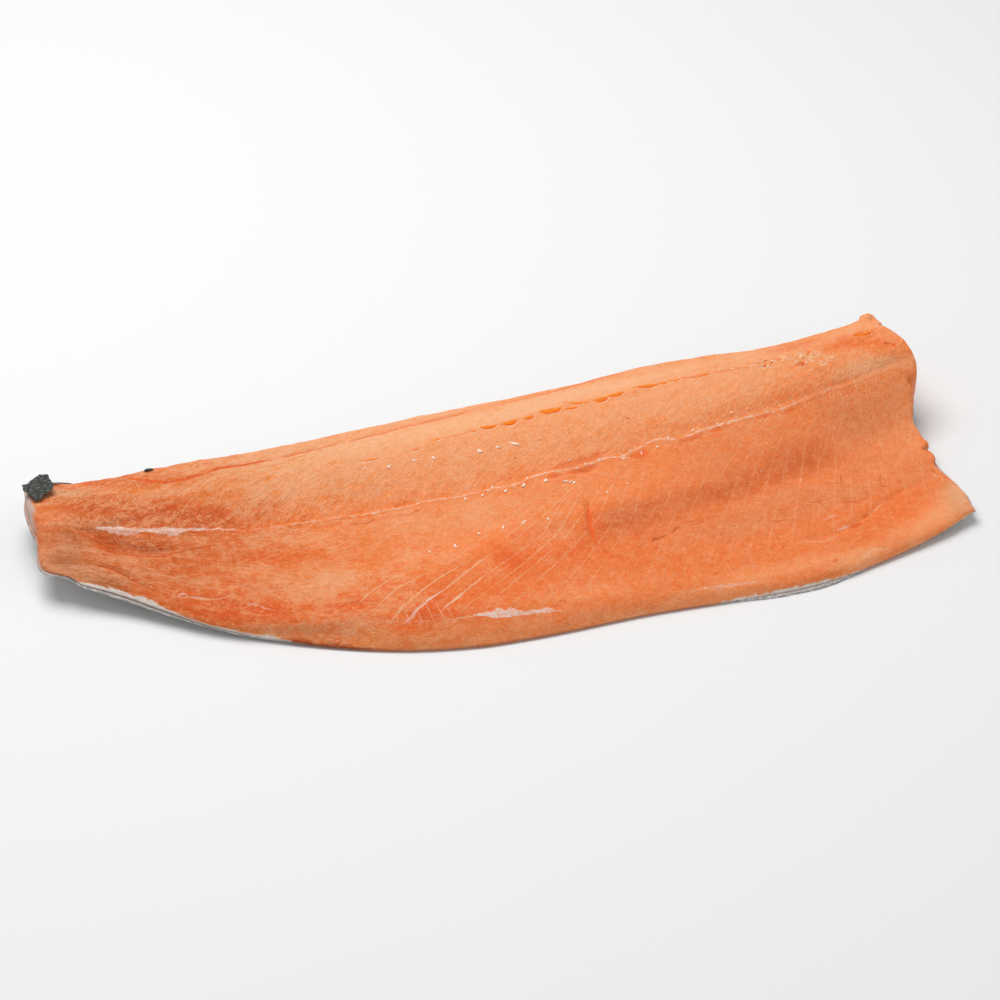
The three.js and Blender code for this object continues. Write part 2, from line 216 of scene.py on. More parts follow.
# the muscle's own lines in plan: x and y in millimetres
muscle = {
    "midline": [(-216, 44), (-205, 42), (-198, 39.5), (-189, 36), (-180, 32.5), (-170, 28), (-160, 25.3),
                (-150, 22.3), (-138, 19.8), (-129, 17), (-113, 14.8), (-98, 14), (-88, 13), (-80, 12.4),
                (-70, 10.3), (-60, 9.8), (-50, 8.8), (-38, 9.1), (-25, 7.6), (-12, 7.8), (5, 7.2), (9, 8.3),
                (26, 8.9), (33, 8.3), (48, 10.3), (58, 9.8), (68, 12.8), (78, 14.9), (86, 13.2), (104, 16.3),
                (126, 18.4), (144, 19.8), (160, 24), (185, 27), (219, 34)],
    # cream sheets between the flakes, from the belly up to the right, in order from the tail
    "septa": [
        [(-128, -36), (-118, -28), (-110, -23), (-100, -20.5), (-82, -18), (-60, -14)],
        [(-120, -36), (-110, -30), (-100, -26), (-92, -23), (-75, -22), (-60, -18)],
        [(-108, -42), (-96, -34.5), (-90, -31), (-85, -28.5), (-70, -27), (-52, -21)],
        [(-98, -50), (-88, -43), (-82, -38.5), (-70, -33), (-55, -30.5), (-40, -23)],
        [(-88, -52), (-80, -47), (-70, -40), (-55, -35), (-45, -33.5), (-28, -24)],
        [(-82, -60), (-74, -55), (-66, -49), (-55, -42.5), (-40, -36), (-20, -28), (-6, -20)],
        [(-72, -62), (-62, -54), (-52, -49), (-40, -42), (-25, -33), (-12, -28), (4, -18)],
        [(-60, -64), (-52, -58), (-45, -54), (-30, -45), (-12, -36), (4, -27), (12, -18)],
        [(-50, -66), (-42, -60), (-30, -54), (-20, -48), (-8, -41), (10, -29), (20, -18)],
        [(-38, -66), (-30, -60), (-18, -52), (-5, -44), (14, -31), (27, -19)],
        [(-24, -66), (-10, -56), (4, -46), (20, -34), (34, -22), (40, -14)],
        [(-8, -68), (6, -57), (19, -46), (31, -35), (43, -23), (50, -12)],
        [(7, -70), (18, -58), (30, -46), (41, -34), (52, -22), (59, -10)],
        [(22, -71), (31, -60), (41, -48), (52, -35), (62, -22), (69, -9)],
    ],
    # past the last of those they stand side by side, at these places on the spine line
    "laterSepta": [107, 115, 122, 130, 138, 145, 153, 160, 168, 175, 183, 190, 198, 206, 214],
    # how strongly the spine line shows along its length
    "midlineShow": [(-216, 0.1), (-190, 0.1), (-130, 0.3), (-90, 0.5), (-50, 0.6), (-25, 0.8), (5, 1),
                    (60, 1), (100, 0.9), (140, 0.7), (165, 0.3), (185, 0.1), (219, 0.1)],
    # how far the later sheets lean, along the fillet for each millimetre across
    "lean": [(60, 1.32), (90, 1.22), (120, 1.14), (150, 0.95), (175, 0.75), (200, 0.6), (220, 0.52)],
}
midlineY = smoothCurve(muscle["midline"])


def septumX(place, y):
    # where a later sheet that meets the spine line at this place passes y
    drop = midlineY(np.asarray(place, float)) - y
    reach = np.clip(drop, -60, 25) + 0.68 * np.clip(drop - 25, 0, 60)
    return place - smoothCurve(muscle["lean"])(np.asarray(place, float)) * reach


def septaField(x, y):
    # a number that grows by one from sheet to sheet, and the width of the flake there
    lines = []
    for route in muscle["septa"]:
        px, py = np.array(route, float).T
        low = (px[1] - px[0]) / (py[1] - py[0])
        high = (px[-1] - px[-2]) / (py[-1] - py[-2])
        line = np.where(y < py[0], px[0] + (y - py[0]) * low, np.interp(y, py, px))
        lines.append(np.where(y > py[-1], px[-1] + (y - py[-1]) * high, line))
    lines += [septumX(place, y) for place in muscle["laterSepta"]]
    for k in range(1, len(lines)):
        lines[k] = np.maximum(lines[k], lines[k - 1] + 2.5)
    first, last = lines[0] - 14, lines[-1] + 10
    lines = [first] + lines + [last]
    number = np.zeros(x.shape)
    width = np.full(x.shape, 10.0)
    for k in range(len(lines) - 1):
        share = (x - lines[k]) / (lines[k + 1] - lines[k])
        inside = (share >= 0) & (share < 1)
        number = np.where(inside, k + share, number)
        width = np.where(inside, lines[k + 1] - lines[k], width)
    number = np.where(x >= lines[-1], len(lines) - 1 + (x - lines[-1]) / 10, number)
    number = np.where(x < lines[0], (x - lines[0]) / 14, number)
    return number, width


# what is pressed, cut or torn in the top: route, depth and half width
furrows = {
    "longCut": ([(-167, 72), (-161, 65.5), (-155, 60.8), (-149, 59.3), (-143, 59.4), (-138, 60.6),
                 (-132.5, 62), (-126, 64.5), (-118, 63.4), (-108, 62.3), (-86, 61.9), (-66, 62.9),
                 (-45, 63.6), (-25, 65.8), (-8, 66.5), (5, 69.5), (20, 70.5), (40, 72),
                 (60, 73.5)], 1.5, 1.1),
    "tailHollow": ([(-201, 41), (-190, 31), (-182, 24), (-171, 18), (-158, 14)], 1.9, 3.2),
    "tailCrease": ([(-195, 18), (-190, 15), (-185, 11), (-178, 1), (-174, -4)], 1.1, 1.5),
    "tailCreaseTwo": ([(-188, 12), (-184, 9), (-181, 5)], 0.5, 0.8),
    "pressedLine": ([(31.5, -12), (30, -18), (28, -25), (27, -31), (26.5, -37)], 1.1, 1.3),
    "pressedEnd": ([(27, -37), (29, -45), (34, -52)], 0.5, 2.2),
    "flakeBreak": ([(43, -45.5), (48, -43), (52, -44), (57, -41), (64, -39.5), (68, -37), (78, -36.5),
                    (86, -34.5)], 0.6, 0.8),
    "liningEdge": ([(121, -60), (131, -60.5), (143, -58.5), (150, -55), (158, -51), (168, -45), (185, -38),
                    (200, -33)], 0.9, 1.4),
    "headTearOne": ([(199, 57), (204, 55.2), (208, 54.5)], 1.6, 1.1),
    "headTearTwo": ([(209, 44), (213, 43)], 0.9, 0.8),
    "headCleft": ([(214, 26), (219, 21)], 1.8, 1.3),
    "headNub": ([(212, 78), (217, 75.5)], -3.4, 5.6),
    "headNotch": ([(215, 64), (222, 62)], 1.8, 1.5),
    "bellyFold": ([(-96, -42), (-86, -46), (-76, -54), (-65, -62)], 0.8, 1.8),
    "farBand": ([(-150, 73), (-60, 74), (20, 75)], -0.5, 3.0),
    "spineDipOne": ([(21, 6), (27, 5.6)], 0.5, 1.0),
    "spineDipTwo": ([(31, 6.5), (38, 5.5), (45, 7.5)], 0.6, 1.3),
    "spineDipThree": ([(61, 9.5), (69, 10)], 0.5, 1.0),
    "spineDipFour": ([(-56, 11.3), (-47, 10.8)], 0.6, 0.9),
}
# slits in a row above the spine line: from x, to x, lip y at both ends, reach upwards, depth
loinSlits = [
    (-2, 7.5, 43.6, 43.8, 3.6, 1.2), (8, 18, 42.8, 43.6, 4.2, 1.5), (20, 26.5, 43.8, 44.8, 3.6, 1.1),
    (29.5, 41, 46.4, 45.6, 6.2, 2.1), (41.5, 48.5, 45.0, 44.6, 2.8, 0.9), (43, 57, 53.4, 45.4, 2.4, 1.2),
    (56.5, 65.5, 45.4, 46.6, 5.4, 1.6), (64, 74, 48.0, 48.2, 5.2, 1.8), (76.5, 80.5, 46.4, 48.4, 1.8, 0.8),
    (79, 92.5, 52.4, 49.2, 4.0, 1.5), (92, 97, 50.6, 50.4, 2.6, 0.9), (97, 103.5, 51.6, 50.0, 2.8, 1.0),
    (107, 120, 49.2, 48.4, 1.6, 0.5), (142.5, 148, 46.2, 46.2, 2.8, 1.2),
    (148.5, 153.5, 46.2, 50.5, 3.2, 1.3), (144.5, 150, 52.0, 54.0, 2.4, 1.0),
    (161, 167, 41.0, 42.5, 4.0, 1.4), (168, 173, 47.5, 50.5, 2.6, 0.9), (-7, -3, 43.2, 43.4, 1.2, 0.5),
    (-26, -21, 43.0, 43.0, 1.3, 0.5), (199, 208, 56.2, 54.2, 2.6, 1.4), (-40, -32, 39.8, 39.0, 1.0, 0.4),
    (-65, -52, 40.8, 39.4, 1.0, 0.4),
]


def slitsAt(x, y):
    # height over the nearest slit's lip, how tall it stands open there, and its depth, most at the lip
    above, tall, depth = np.full(x.shape, -9.0), np.full(x.shape, -1.0), np.zeros(x.shape)
    closest = np.full(x.shape, 1e9)
    wander = 0.6 * roughNoise(x / 2.6, y / 9, 2, 14)
    for fromX, toX, lipFrom, lipTo, reach, deep in loinSlits:
        reach = 1.18 * reach
        share = (x - fromX) / (toX - fromX)
        bow = np.sin(math.pi * np.clip(share, -0.15, 1.15))
        arch = np.sign(bow) * np.abs(bow) ** 0.8
        over = y - (lipFrom + 0.55 * reach + (lipTo - lipFrom) * share - 0.72 * reach * arch + wander)
        high = 0.85 * reach * arch
        missed = np.abs(over - 0.4 * reach) + 30 * np.maximum(0, -bow)
        nearer = missed < closest
        closest = np.where(nearer, missed, closest)
        above, tall = np.where(nearer, over, above), np.where(nearer, high, tall)
        inside = ramp(over, -0.35, 0.35) * ramp(bow, 0, 0.3)
        depth = np.maximum(depth, inside * deep * np.clip(1 - over / np.maximum(high, 0.05), 0, 1) ** 0.8)
    return np.clip(above, -9, 9), tall, 0.55 * depth


# fine lines: route, half width in millimetres, strength
creamLines = [
    ([(-71, -52), (-71, -61), (-69, -77)], 0.32, 0.4), ([(-66, -52), (-66, -61), (-64, -78)], 0.32, 0.4),
    ([(-61, -52), (-61, -62), (-58, -81)], 0.32, 0.4), ([(-75, -54), (-76, -62), (-75, -76)], 0.32, 0.4),
    ([(-80, -56), (-81, -64), (-80, -74)], 0.32, 0.4), ([(-57, -55), (-56, -63), (-53, -80)], 0.32, 0.4),
    ([(-84, -59), (-85, -64), (-84, -72)], 0.32, 0.4), ([(-53, -58), (-52, -65), (-49, -78)], 0.32, 0.4),
    ([(-74, -55), (-70, -52), (-66, -49), (-61, -46), (-55, -42.5), (-48, -39), (-40, -36)], 0.35, 0.9),
    ([(-52, -49), (-46, -45.5), (-40, -42), (-34, -38.5), (-25, -33)], 0.35, 0.9),
    ([(-88, -43), (-82, -38.5), (-78, -36), (-70, -33), (-64, -31)], 0.3, 0.7),
    ([(-52, -58), (-48, -56), (-43, -53)], 0.6, 0.8), ([(-43, -53), (-38, -49.5), (-30, -45)], 0.35, 0.7),
    ([(-80, -47), (-76, -44), (-70, -40), (-62, -37.5), (-55, -35)], 0.3, 0.7),
    ([(183.5, 30.5), (185.2, 29.3), (185.9, 26), (185.3, 23.1)], 0.3, 0.7),
    ([(21.4, 27.6), (19.8, 24.8)], 0.3, 0.7), ([(-18, 31.2), (-18.4, 28.7)], 0.3, 0.6),
    ([(38.6, 18.6), (40, 20)], 0.25, 0.5), ([(31, 31), (34, 30.2)], 0.3, 0.5),
    ([(170, 53), (168.5, 48), (167, 44)], 0.5, 0.6),
    ([(12, -76.5), (25, -77), (45, -78), (60, -79), (75, -80)], 0.4, 0.6),
    ([(172, -76.6), (164, -75.6), (156, -74.6), (150, -74.4), (144, -77), (136, -81)], 0.45, 0.8),
    ([(-165, -12), (-160, -13.5), (-155, -17), (-148, -19.5), (-140, -20)], 0.4, 0.6),
    ([(-86, -62), (-78, -58), (-72, -52), (-66, -50)], 0.5, 0.5),
    ([(-82, -66), (-74, -63), (-64, -64)], 0.5, 0.5), ([(-60, -70), (-50, -66), (-44, -67)], 0.5, 0.6),
    ([(22, 31), (24, 29)], 0.4, 0.6), ([(124, 51), (126, 55)], 0.8, 0.6),
    ([(141, 45), (144, 44.2), (148, 45), (152, 44.6)], 0.5, 0.9),
    ([(152, 50), (150, 54), (147, 56)], 0.5, 0.7), ([(120, -61), (130, -64), (139, -61)], 0.5, 0.5),
    ([(168, -45), (163, -48), (158, -51)], 0.5, 0.5), ([(84, 15.6), (85.8, 12.4)], 0.26, 0.8),
    ([(96, 17), (98, 13.6)], 0.26, 0.8), ([(109, 19), (111.2, 15.2)], 0.28, 0.8),
    ([(119.5, 20.6), (121.6, 16.8)], 0.28, 0.9), ([(126, 21.5), (128.5, 17.4)], 0.3, 0.9),
    ([(134, 23), (137, 18.4)], 0.36, 1.0), ([(142.5, 24), (145.4, 19.6)], 0.36, 1.0),
    ([(150, 25), (152.6, 21)], 0.34, 0.9), ([(157, 27), (159.4, 23)], 0.28, 0.7),
    ([(166, 30), (168.6, 26)], 0.25, 0.5), ([(167, 24), (172, 27), (176, 25), (177, 18)], 0.3, 0.5),
]
# dark red lines in cracks, creases, tears and pits: partly the deeper flesh there, partly painted shade
crackShadeLines = [
    ([(43.5, -45.5), (46, -44.6), (49, -43.6)], 0.4, 0.9),
    ([(51.5, -43.6), (54, -42.2), (57.5, -41.4), (60.5, -40.6)], 0.5, 1.0),
    ([(54.4, -40), (54.8, -43)], 0.3, 0.7), ([(63.5, -39.6), (66.4, -37.2), (69, -37)], 0.35, 0.9),
    ([(70, -37.6), (72, -38.2)], 0.28, 0.7), ([(75, -37.6), (78, -36.4), (80.5, -35.6)], 0.28, 0.7),
    ([(82, -34.6), (86, -34.4), (88, -33.6)], 0.24, 0.7), ([(90, -31.8), (92.5, -30.8)], 0.22, 0.5),
    ([(117, -36.5), (120, -37.6), (123, -38)], 0.4, 0.5), ([(124, -40), (130, -40.2)], 0.35, 0.6),
    ([(132, -34), (134, -35)], 0.3, 0.6), ([(134, -35), (137, -35.9), (142, -35.5)], 0.5, 0.65),
    ([(142, -35.5), (150, -35)], 0.3, 0.5), ([(112, -43.5), (115, -44.7), (119, -44.6)], 0.5, 0.6),
    ([(151, -39), (153, -39.9), (156, -40)], 0.4, 0.5), ([(72, -71), (74, -70)], 0.5, 0.8),
    ([(147, -23), (150, -24), (153, -23.6)], 0.35, 0.4), ([(165, -18), (168, -15.6)], 0.35, 0.35),
    ([(104, -52), (112, -53)], 0.3, 0.5), ([(-201, 41), (-194, 34), (-188, 29), (-183, 24.5)], 0.6, 0.6),
    ([(-160, 13.5), (-150, 12.5), (-140, 12)], 0.5, 0.6),
    ([(-195, 18), (-190, 15), (-185, 11), (-181, 5), (-178, 1), (-174, -4)], 0.5, 0.7),
    ([(-188, 12), (-184, 9), (-181, 6)], 0.3, 0.5), ([(6.3, -31.8), (6.9, -31.8)], 0.5, 1.0),
    ([(-2.5, -35), (-1.9, -35)], 0.5, 1.0), ([(-8.3, -38.5), (-7.7, -38.5)], 0.4, 1.0),
    ([(7.4, 21.7), (8, 21.7)], 0.5, 0.7), ([(216, 25), (219, 21)], 0.7, 0.9),
    ([(210, 44), (212.5, 43)], 0.5, 0.8), ([(143, 47.6), (146, 47)], 0.5, 0.6),
    ([(163, 44.5), (165, 41.5)], 0.6, 0.6), ([(158, -50.8), (162, -48.5)], 0.4, 0.5),
    ([(-186, -1.5), (-178, -8), (-170, -14.5)], 0.5, 0.7), ([(-56, 5), (-50, 4), (-44, 6)], 0.4, 0.5),
    ([(-78, 7), (-70, 5.4), (-66, 6.6)], 0.5, 0.6), ([(21.4, 28.4), (23.4, 28.9)], 0.45, 0.5),
    ([(36.8, 16.6), (38.4, 17.8)], 0.4, 0.5), ([(-1, 10.4), (1, 10.9), (3, 11.9)], 0.4, 0.5),
    ([(159.4, -17.6), (157.5, -22), (155.2, -26.7)], 0.28, 0.7),
    ([(148, -23), (151.5, -24.4), (155, -24.8)], 0.34, 0.8),
    ([(178, -22.5), (175, -28), (173, -33.3), (177.7, -34.6)], 0.26, 0.6),
    ([(149.8, -38.7), (154, -40), (158.1, -40.9)], 0.4, 0.9), ([(165.2, -17.5), (167.8, -18.2)], 0.4, 0.7),
    ([(190, -26.5), (196.1, -28.1)], 0.24, 0.5), ([(201.6, -28), (203, -31)], 0.6, 0.7),
    ([(129.5, -33), (131, -39), (130, -45)], 0.22, 0.5), ([(119, -38), (120.5, -45)], 0.2, 0.5),
    ([(140, -36), (141, -44)], 0.22, 0.5), ([(67.2, 30.8), (68.2, 29.4)], 0.6, 0.6),
    ([(198, 49), (201, 50)], 0.5, 0.5), ([(147, -57), (152, -55)], 0.8, 0.6),
    ([(155, -52), (158, -50.5)], 0.6, 0.6),
]


warmLines = [
    ([(208.5, 44), (210.5, 43)], 0.9, 1.0), ([(212, 42), (213.5, 41)], 0.9, 1.0),
    ([(215, 26), (216, 21)], 0.9, 0.9),
    ([(31.5, -13), (30, -18), (28.2, -24), (27.2, -31), (26.6, -36)], 0.9, 1.0),
    ([(27.5, -40), (30, -46), (35, -50)], 1.0, 0.45), ([(49, -50), (53, -47)], 0.8, 0.5),
    ([(-152, 12.5), (-143, 11.6)], 0.4, 0.5),
    ([(-167, 72), (-161, 66), (-155, 61), (-149, 59.4)], 1.1, 1.0),
    ([(-149, 59.4), (-143, 59.5), (-138, 60.7), (-132.5, 62)], 1.5, 1.0),
    ([(-132.5, 62), (-126, 64.6), (-118, 63.4), (-108, 62.4), (-98, 61.8)], 1.2, 1.0),
    ([(-98, 61.8), (-86, 61.9), (-66, 62.9)], 0.9, 0.9),
    ([(-66, 62.9), (-45, 63.6), (-25, 65.8), (-8, 66.5), (5, 69.5)], 0.8, 0.85),
    ([(5, 69.5), (20, 70.5), (40, 72), (60, 73.5), (80, 74)], 0.7, 0.65),
    ([(-160, 68.5), (-150, 66), (-140, 67.5)], 0.9, 0.5), ([(-112, 56), (-100, 54), (-90, 55.5)], 0.6, 0.5),
    ([(-96, 57), (-84, 56.5)], 0.5, 0.5), ([(-192, 76), (-188, 74.5), (-185, 73)], 0.7, 0.7),
    ([(19, 6.6), (23.5, 6.6)], 1.5, 0.8), ([(29, 6.6), (37, 6.4), (42, 7.6)], 1.6, 0.75),
    ([(24, 11.5), (33, 11.8), (41, 13)], 1.6, 0.6), ([(42, 12.8), (48, 13.8)], 1.4, 0.7),
    ([(61.5, 8.6), (66, 8.4), (69.5, 9.6)], 1.9, 0.85), ([(88, 12.2), (94, 12), (100, 14)], 1.2, 0.6),
    ([(34, 11), (48, 13)], 1.2, 0.5), ([(104, 14.5), (112, 15.5)], 0.9, 0.6),
    ([(130, 17.5), (138, 18.5)], 0.9, 0.6), ([(144, 17.5), (150, 19)], 0.9, 0.5),
    ([(-56, 11.5), (-50, 11), (-45, 10.5)], 0.6, 0.5), ([(-96, 11), (-88, 9), (-80, 9.5)], 0.7, 0.4),
    ([(147, -58), (150, -56.5), (152.5, -55.5)], 1.2, 1.0), ([(155, -51.5), (158.5, -50)], 1.0, 0.8),
    ([(135, -62), (139, -61.5)], 0.8, 0.8), ([(128, -77.5), (131, -76.5)], 0.8, 0.8),
    ([(-74, -49), (-70, -47)], 0.8, 0.4), ([(-130, -52), (-120, -54), (-112, -56)], 0.8, 0.5),
    ([(-77, -30), (-76, -34)], 0.8, 0.4), ([(160, 42), (166, 45)], 0.9, 0.5),
    ([(168, 50), (173, 51)], 0.9, 0.4), ([(140, 52), (146, 50), (152, 53)], 0.9, 0.5),
    ([(199, 47), (205, 46), (208, 48)], 1.6, 0.5), ([(186, 50), (196, 53)], 1.6, 0.4),
    ([(-2, 44.6), (-12, 43.8), (-20, 43.2)], 0.5, 0.5), ([(104, 51.5), (118, 50)], 0.7, 0.6),
    ([(120, 50), (135, 49), (142, 48)], 0.7, 0.6),
]
# thin pale films: x, the y of the lower edge and how tall, from left to right, then strength
films = [
    ([(-48, -66.5, 0), (-44, -67, 0.5), (-41, -67.5, 1.0), (-37, -68.8, 1.8), (-33, -70.2, 3.2),
      (-31, -70.5, 4.9), (-30, -70.7, 4.4), (-28, -71, 3.0), (-26.3, -71.2, 4.2), (-24, -71.5, 3.4),
      (-22, -71.7, 2.2), (-20, -72, 1.7), (-15, -72.3, 1.5), (-12, -72.5, 1.7), (-9, -73.2, 2.6),
      (-7.5, -73.5, 2.2), (-5, -74, 1.2), (-1, -74.8, 0.6), (2, -75.5, 0)], 1.0),
    ([(-192, 37.2, 0), (-188.5, 35.2, 1.0), (-185, 32.9, 2.4), (-181.5, 30.6, 3.6), (-178, 28.9, 4.2),
      (-175, 28.4, 3.6), (-172, 28.2, 2.6), (-169, 27.6, 2.2), (-166, 26.1, 2.6), (-162.5, 24.0, 3.6),
      (-159, 22.6, 4.4), (-156, 22.0, 3.8), (-153, 22.3, 2.4), (-151, 22.5, 1.2), (-148, 21.6, 1.9),
      (-144, 21.0, 1.7), (-141, 20.6, 0.6), (-137, 19.6, 0.9), (-131, 18.2, 0.6),
      (-126, 17.2, 0)], 0.82),
    ([(-166, -12.2, 0.0), (-162, -11.4, 1.1), (-160, -13.6, 0.5), (-156, -16.0, 1.0), (-153, -17.3, 0.4),
      (-149, -20.5, 0.0)], 0.6),
    ([(-138, -28.3, 0.0), (-135, -27.8, 0.9), (-132, -29.5, 0.5), (-129, -32.5, 0.8),
      (-123, -36.2, 0.0)], 0.55),
    ([(-96, -60, 0), (-92, -62, 1.5), (-88, -63.5, 3.5), (-84, -65, 2.5), (-80, -67, 4.0),
      (-76, -68, 5.5), (-72, -69.5, 3.5), (-68, -70.5, 2.0), (-62, -72, 3.0), (-56, -73, 1.5),
      (-50, -74, 0)], 0.5),
    ([(24, -74.5, 0), (34, -76.2, 0.8), (48, -77.6, 1.2), (60, -78.6, 1.7), (72, -79.6, 2.2),
      (84, -80.6, 1.8), (95, -81.4, 0.8), (102, -82, 0)], 0.45),
    ([(138, -80.5, 0), (144, -78.5, 1.0), (150, -77.6, 2.0), (156, -77.5, 2.4), (162, -78, 2.0),
      (168, -77.5, 1.0), (174, -76, 0)], 0.55),
    ([(134, -50, 0), (137, -50, 1.2), (140, -49, 1.8), (143, -48.5, 0.8), (146, -48, 0)], 0.35),
    ([(138, -58.5, 0), (141, -58, 1.4), (145, -57, 1.0), (147, -56, 0)], 0.35),
    ([(-75, -62, 0), (-70, -59.6, 1.2), (-66, -57.4, 1.7), (-62, -54.6, 1.5), (-57, -51.6, 1.3),
      (-52, -49.3, 0.6), (-48, -47, 0)], 0.8),
    ([(-56, -61, 0), (-52, -58.4, 1.0), (-47, -55.6, 1.4), (-43, -53.2, 0.9), (-39, -50.6, 0)], 0.7),
]


def filmsAt(x, y):
    # height over the lower edge of the nearest film, how tall it is there and how strong
    above, tall, show = np.full(x.shape, -9.0), np.full(x.shape, -0.5), np.zeros(x.shape)
    closest = np.full(x.shape, 1e9)
    wander = 0.5 * roughNoise(x / 3.1, y / 9, 2, 17)
    for points, strength in films:
        px, py, high = np.array(points, float).T
        over = y - np.interp(x, px, py) - wander
        here = np.interp(x, px, high)
        outside = np.maximum(np.maximum(px[0] - x, x - px[-1]), 0)
        missed = np.abs(over - 0.5 * here) + 4 * outside
        nearer = missed < closest
        closest = np.where(nearer, missed, closest)
        above, tall = np.where(nearer, over, above), np.where(nearer, here - 0.5 * outside, tall)
        show = np.where(nearer, strength, show)
    return np.clip(above, -9, 9), tall, show


# torn places where small flakes stand up: x, y, reach along, reach across, turn
tornPlaces = [(145, 49.5, 8.5, 4.4, 10), (167, 47, 11.0, 5.6, 8), (156, 50.5, 7, 3, 0), (176, 41, 7, 3.5, 20)]


def tornAt(x, y):
    torn = np.zeros(x.shape)
    for cx, cy, along, across, turn in tornPlaces:
        u, v = spun(x - cx, y - cy, turn)
        torn = np.maximum(torn, np.exp(-((u / along) ** 2 + (v / across) ** 2) ** 1.3))
    return torn


def linesAt(lines, x, y):
    # signed distance to the nearest of some fine lines, how much it shows, and its half width
    side, best = np.full(x.shape, 50.0), np.full(x.shape, 1e9)
    show, width = np.zeros(x.shape), np.full(x.shape, 0.4)
    for route, half, strength in lines:
        (lowX, lowY), (highX, highY) = np.min(route, 0) - 5, np.max(route, 0) + 5
        near = (x > lowX) & (x < highX) & (y > lowY) & (y < highY)
        if not near.any():
            continue
        distance, along, sign = nearRoute(route, x[near], y[near])
        better = distance < best[near]
        put = lambda target, value: target.__setitem__(near, np.where(better, value, target[near]))
        past = np.where((along <= 0) | (along >= 1), bell(distance, 0.5 + half), 1)
        put(side, sign * distance)
        put(show, strength * bell(distance, 1.7 + half) * past)
        put(width, half * (0.45 + 0.55 * ramp(np.minimum(along, 1 - along), 0, 0.2)))
        put(best, distance)
    return side, show, width


# how the edges leave the plain form, in millimetres, and how far up the side the skin and the painted shadow
# of the cleft show
edges = {
    "farLift": [(-217, 0), (-140, 0), (-115, -0.8), (-80, -1.8), (-40, -2.2), (-15, -1.2), (30, -1.0),
                (50, 0), (75, 1.4), (110, 2.1), (132, 1.5), (150, 0), (165, -0.2), (180, 0.4), (219, 0)],
    "bellyPush": [(-217, 0), (-150, 0), (-125, -0.5), (-95, -1.7), (-70, -2.3), (-45, -1.8), (-25, -0.6),
                  (0, 0), (100, 0), (120, -1.0), (135, -1.4), (150, -1.2), (165, -1.6), (185, -2.5),
                  (200, -3), (219, -3)],
    # the torn outline of the head end: y and how far it stands out
    "headRagged": [(-62, -0.4), (-58, -1.0), (-48, -1.8), (-39, -1.4), (-31, -2.6), (-26, -3.0),
                   (-22.6, -2.9), (-21.2, -1.2), (-19, -0.2), (-16.4, 0.3), (-14.4, -0.2), (-12.6, -1.4),
                   (-11.2, -3.4), (-9.8, -2.8), (-8.4, 0.4), (-6.6, 1.6), (-4.8, 1.5), (-3, 0.7),
                   (0.7, 1.2), (5, 0.6), (9, 0.2), (13, 0.6), (18, -0.4), (22, -1.3), (25.5, -1.5),
                   (28, 0.4), (33, 0.6), (41, -0.2), (49, 0.5), (56, -0.6), (61, -1.8), (64, -2.6),
                   (67, 0.2), (72, 0.8), (80, 0)],
    # the skin's silver edge, then a painted shadow in the cleft under the overhanging belly edge: x and the
    # share of the side
    "silver": [(-217, 0), (-209, 0.0), (-202, 0.7), (-190, 0.95), (-176, 0.9), (-166, 0.5), (-156, 0.2),
               (-146, 0.3), (-138, 0.1), (-130, 0.25), (-122, 0), (-100, 0), (70, 0), (80, 0.16), (92, 0.26),
               (104, 0.3), (118, 0.28), (127, 0.16), (134, 0.05), (140, 0), (219, 0)],
    "cleft": [(-217, 0), (-204, 0), (-196, 0.1), (-180, 0.14), (-165, 0.1), (-150, 0), (-130, 0), (-126, 0.1),
              (-118, 0.2), (-112, 0.12), (-104, 0.18), (-97, 0.12), (-90, 0), (219, 0)],
}


def topRelief(x, y):
    # height added to the top, in millimetres
    wave = 0.45 * np.sin(x / 34) * np.cos(y / 19)
    wave = wave + 0.22 * np.sin(x / 11 + 0.5 * np.sin(y / 8)) * np.cos(y / 15)
    wave += 0.3 * roughNoise(x / 24, y / 13, 3, 1) + 0.1 * roughNoise(x / 4.5, y / 3.2, 2, 2)
    for route, depth, width in furrows.values():
        distance, along, _ = nearRoute(route, x, y)
        taper = ramp(along, -0.02, 0.12) * ramp(1 - along, -0.02, 0.12)
        wave -= depth * bell(distance, width * (0.7 + 0.3 * taper)) * (0.35 + 0.65 * taper)
    above, tall, depth = slitsAt(x, y)
    wave += 0.3 * bell(above + 0.8, 0.8) * ramp(tall, 0.2, 1.5) - depth
    off = y - midlineY(x)
    wave += 0.4 * bell(off + 0.2, 0.8) * (1 - 0.7 * ramp(x, 120, 160))
    number, width = septaField(x, y)
    toSheet = np.abs(number - np.round(number)) * width * 0.62
    shown = septaShown(x, y)
    wave += 0.17 * bell(toSheet, 0.9) * shown + 0.22 * np.sin(math.pi * (number - np.floor(number))) * shown
    # fibre bundles that lean the same way on the loin
    across, along = leaningPlace(x, y)
    leaning = roughNoise(across / 2.4, along / 7, 2, 3)
    across, along = lyingPlace(x, y)
    lying = roughNoise(across / 2.4, along / 8, 2, 4)
    strong = strokeStrength(x, y)
    below = ramp(-off, -2, 6)
    wave += 0.26 * strong * (leaning * (1 - below) + lying * below)
    torn = tornAt(x, y)
    wave += torn * (0.9 * roughNoise(x / 1.7, y / 1.7, 2, 5) + 0.2)
    # the far edge dips and swells a little
    farEdge = 1 - ramp(backY(x) - y, 1, 11)
    dips = 0.6 + roughNoise(x / 21, x * 0 + 0.5, 3, 8)
    wave -= 0.9 * farEdge * dips * ramp(x, -188, -170) * (1 - ramp(x, 150, 185))
    wave += farEdge * smoothCurve(edges["farLift"])(x)
    return wave


def leaningPlace(x, y):
    # across and along the strokes above the spine line, which rise towards the head
    return 0.84 * y - 0.54 * x, 0.84 * x + 0.54 * y


def lyingPlace(x, y):
    # across and along the strokes below it, which follow the spine line and the belly edge
    middle, belly = midlineY(x), bellyY(x)
    return (y - middle) * 75 / np.maximum(middle - belly, 25), x


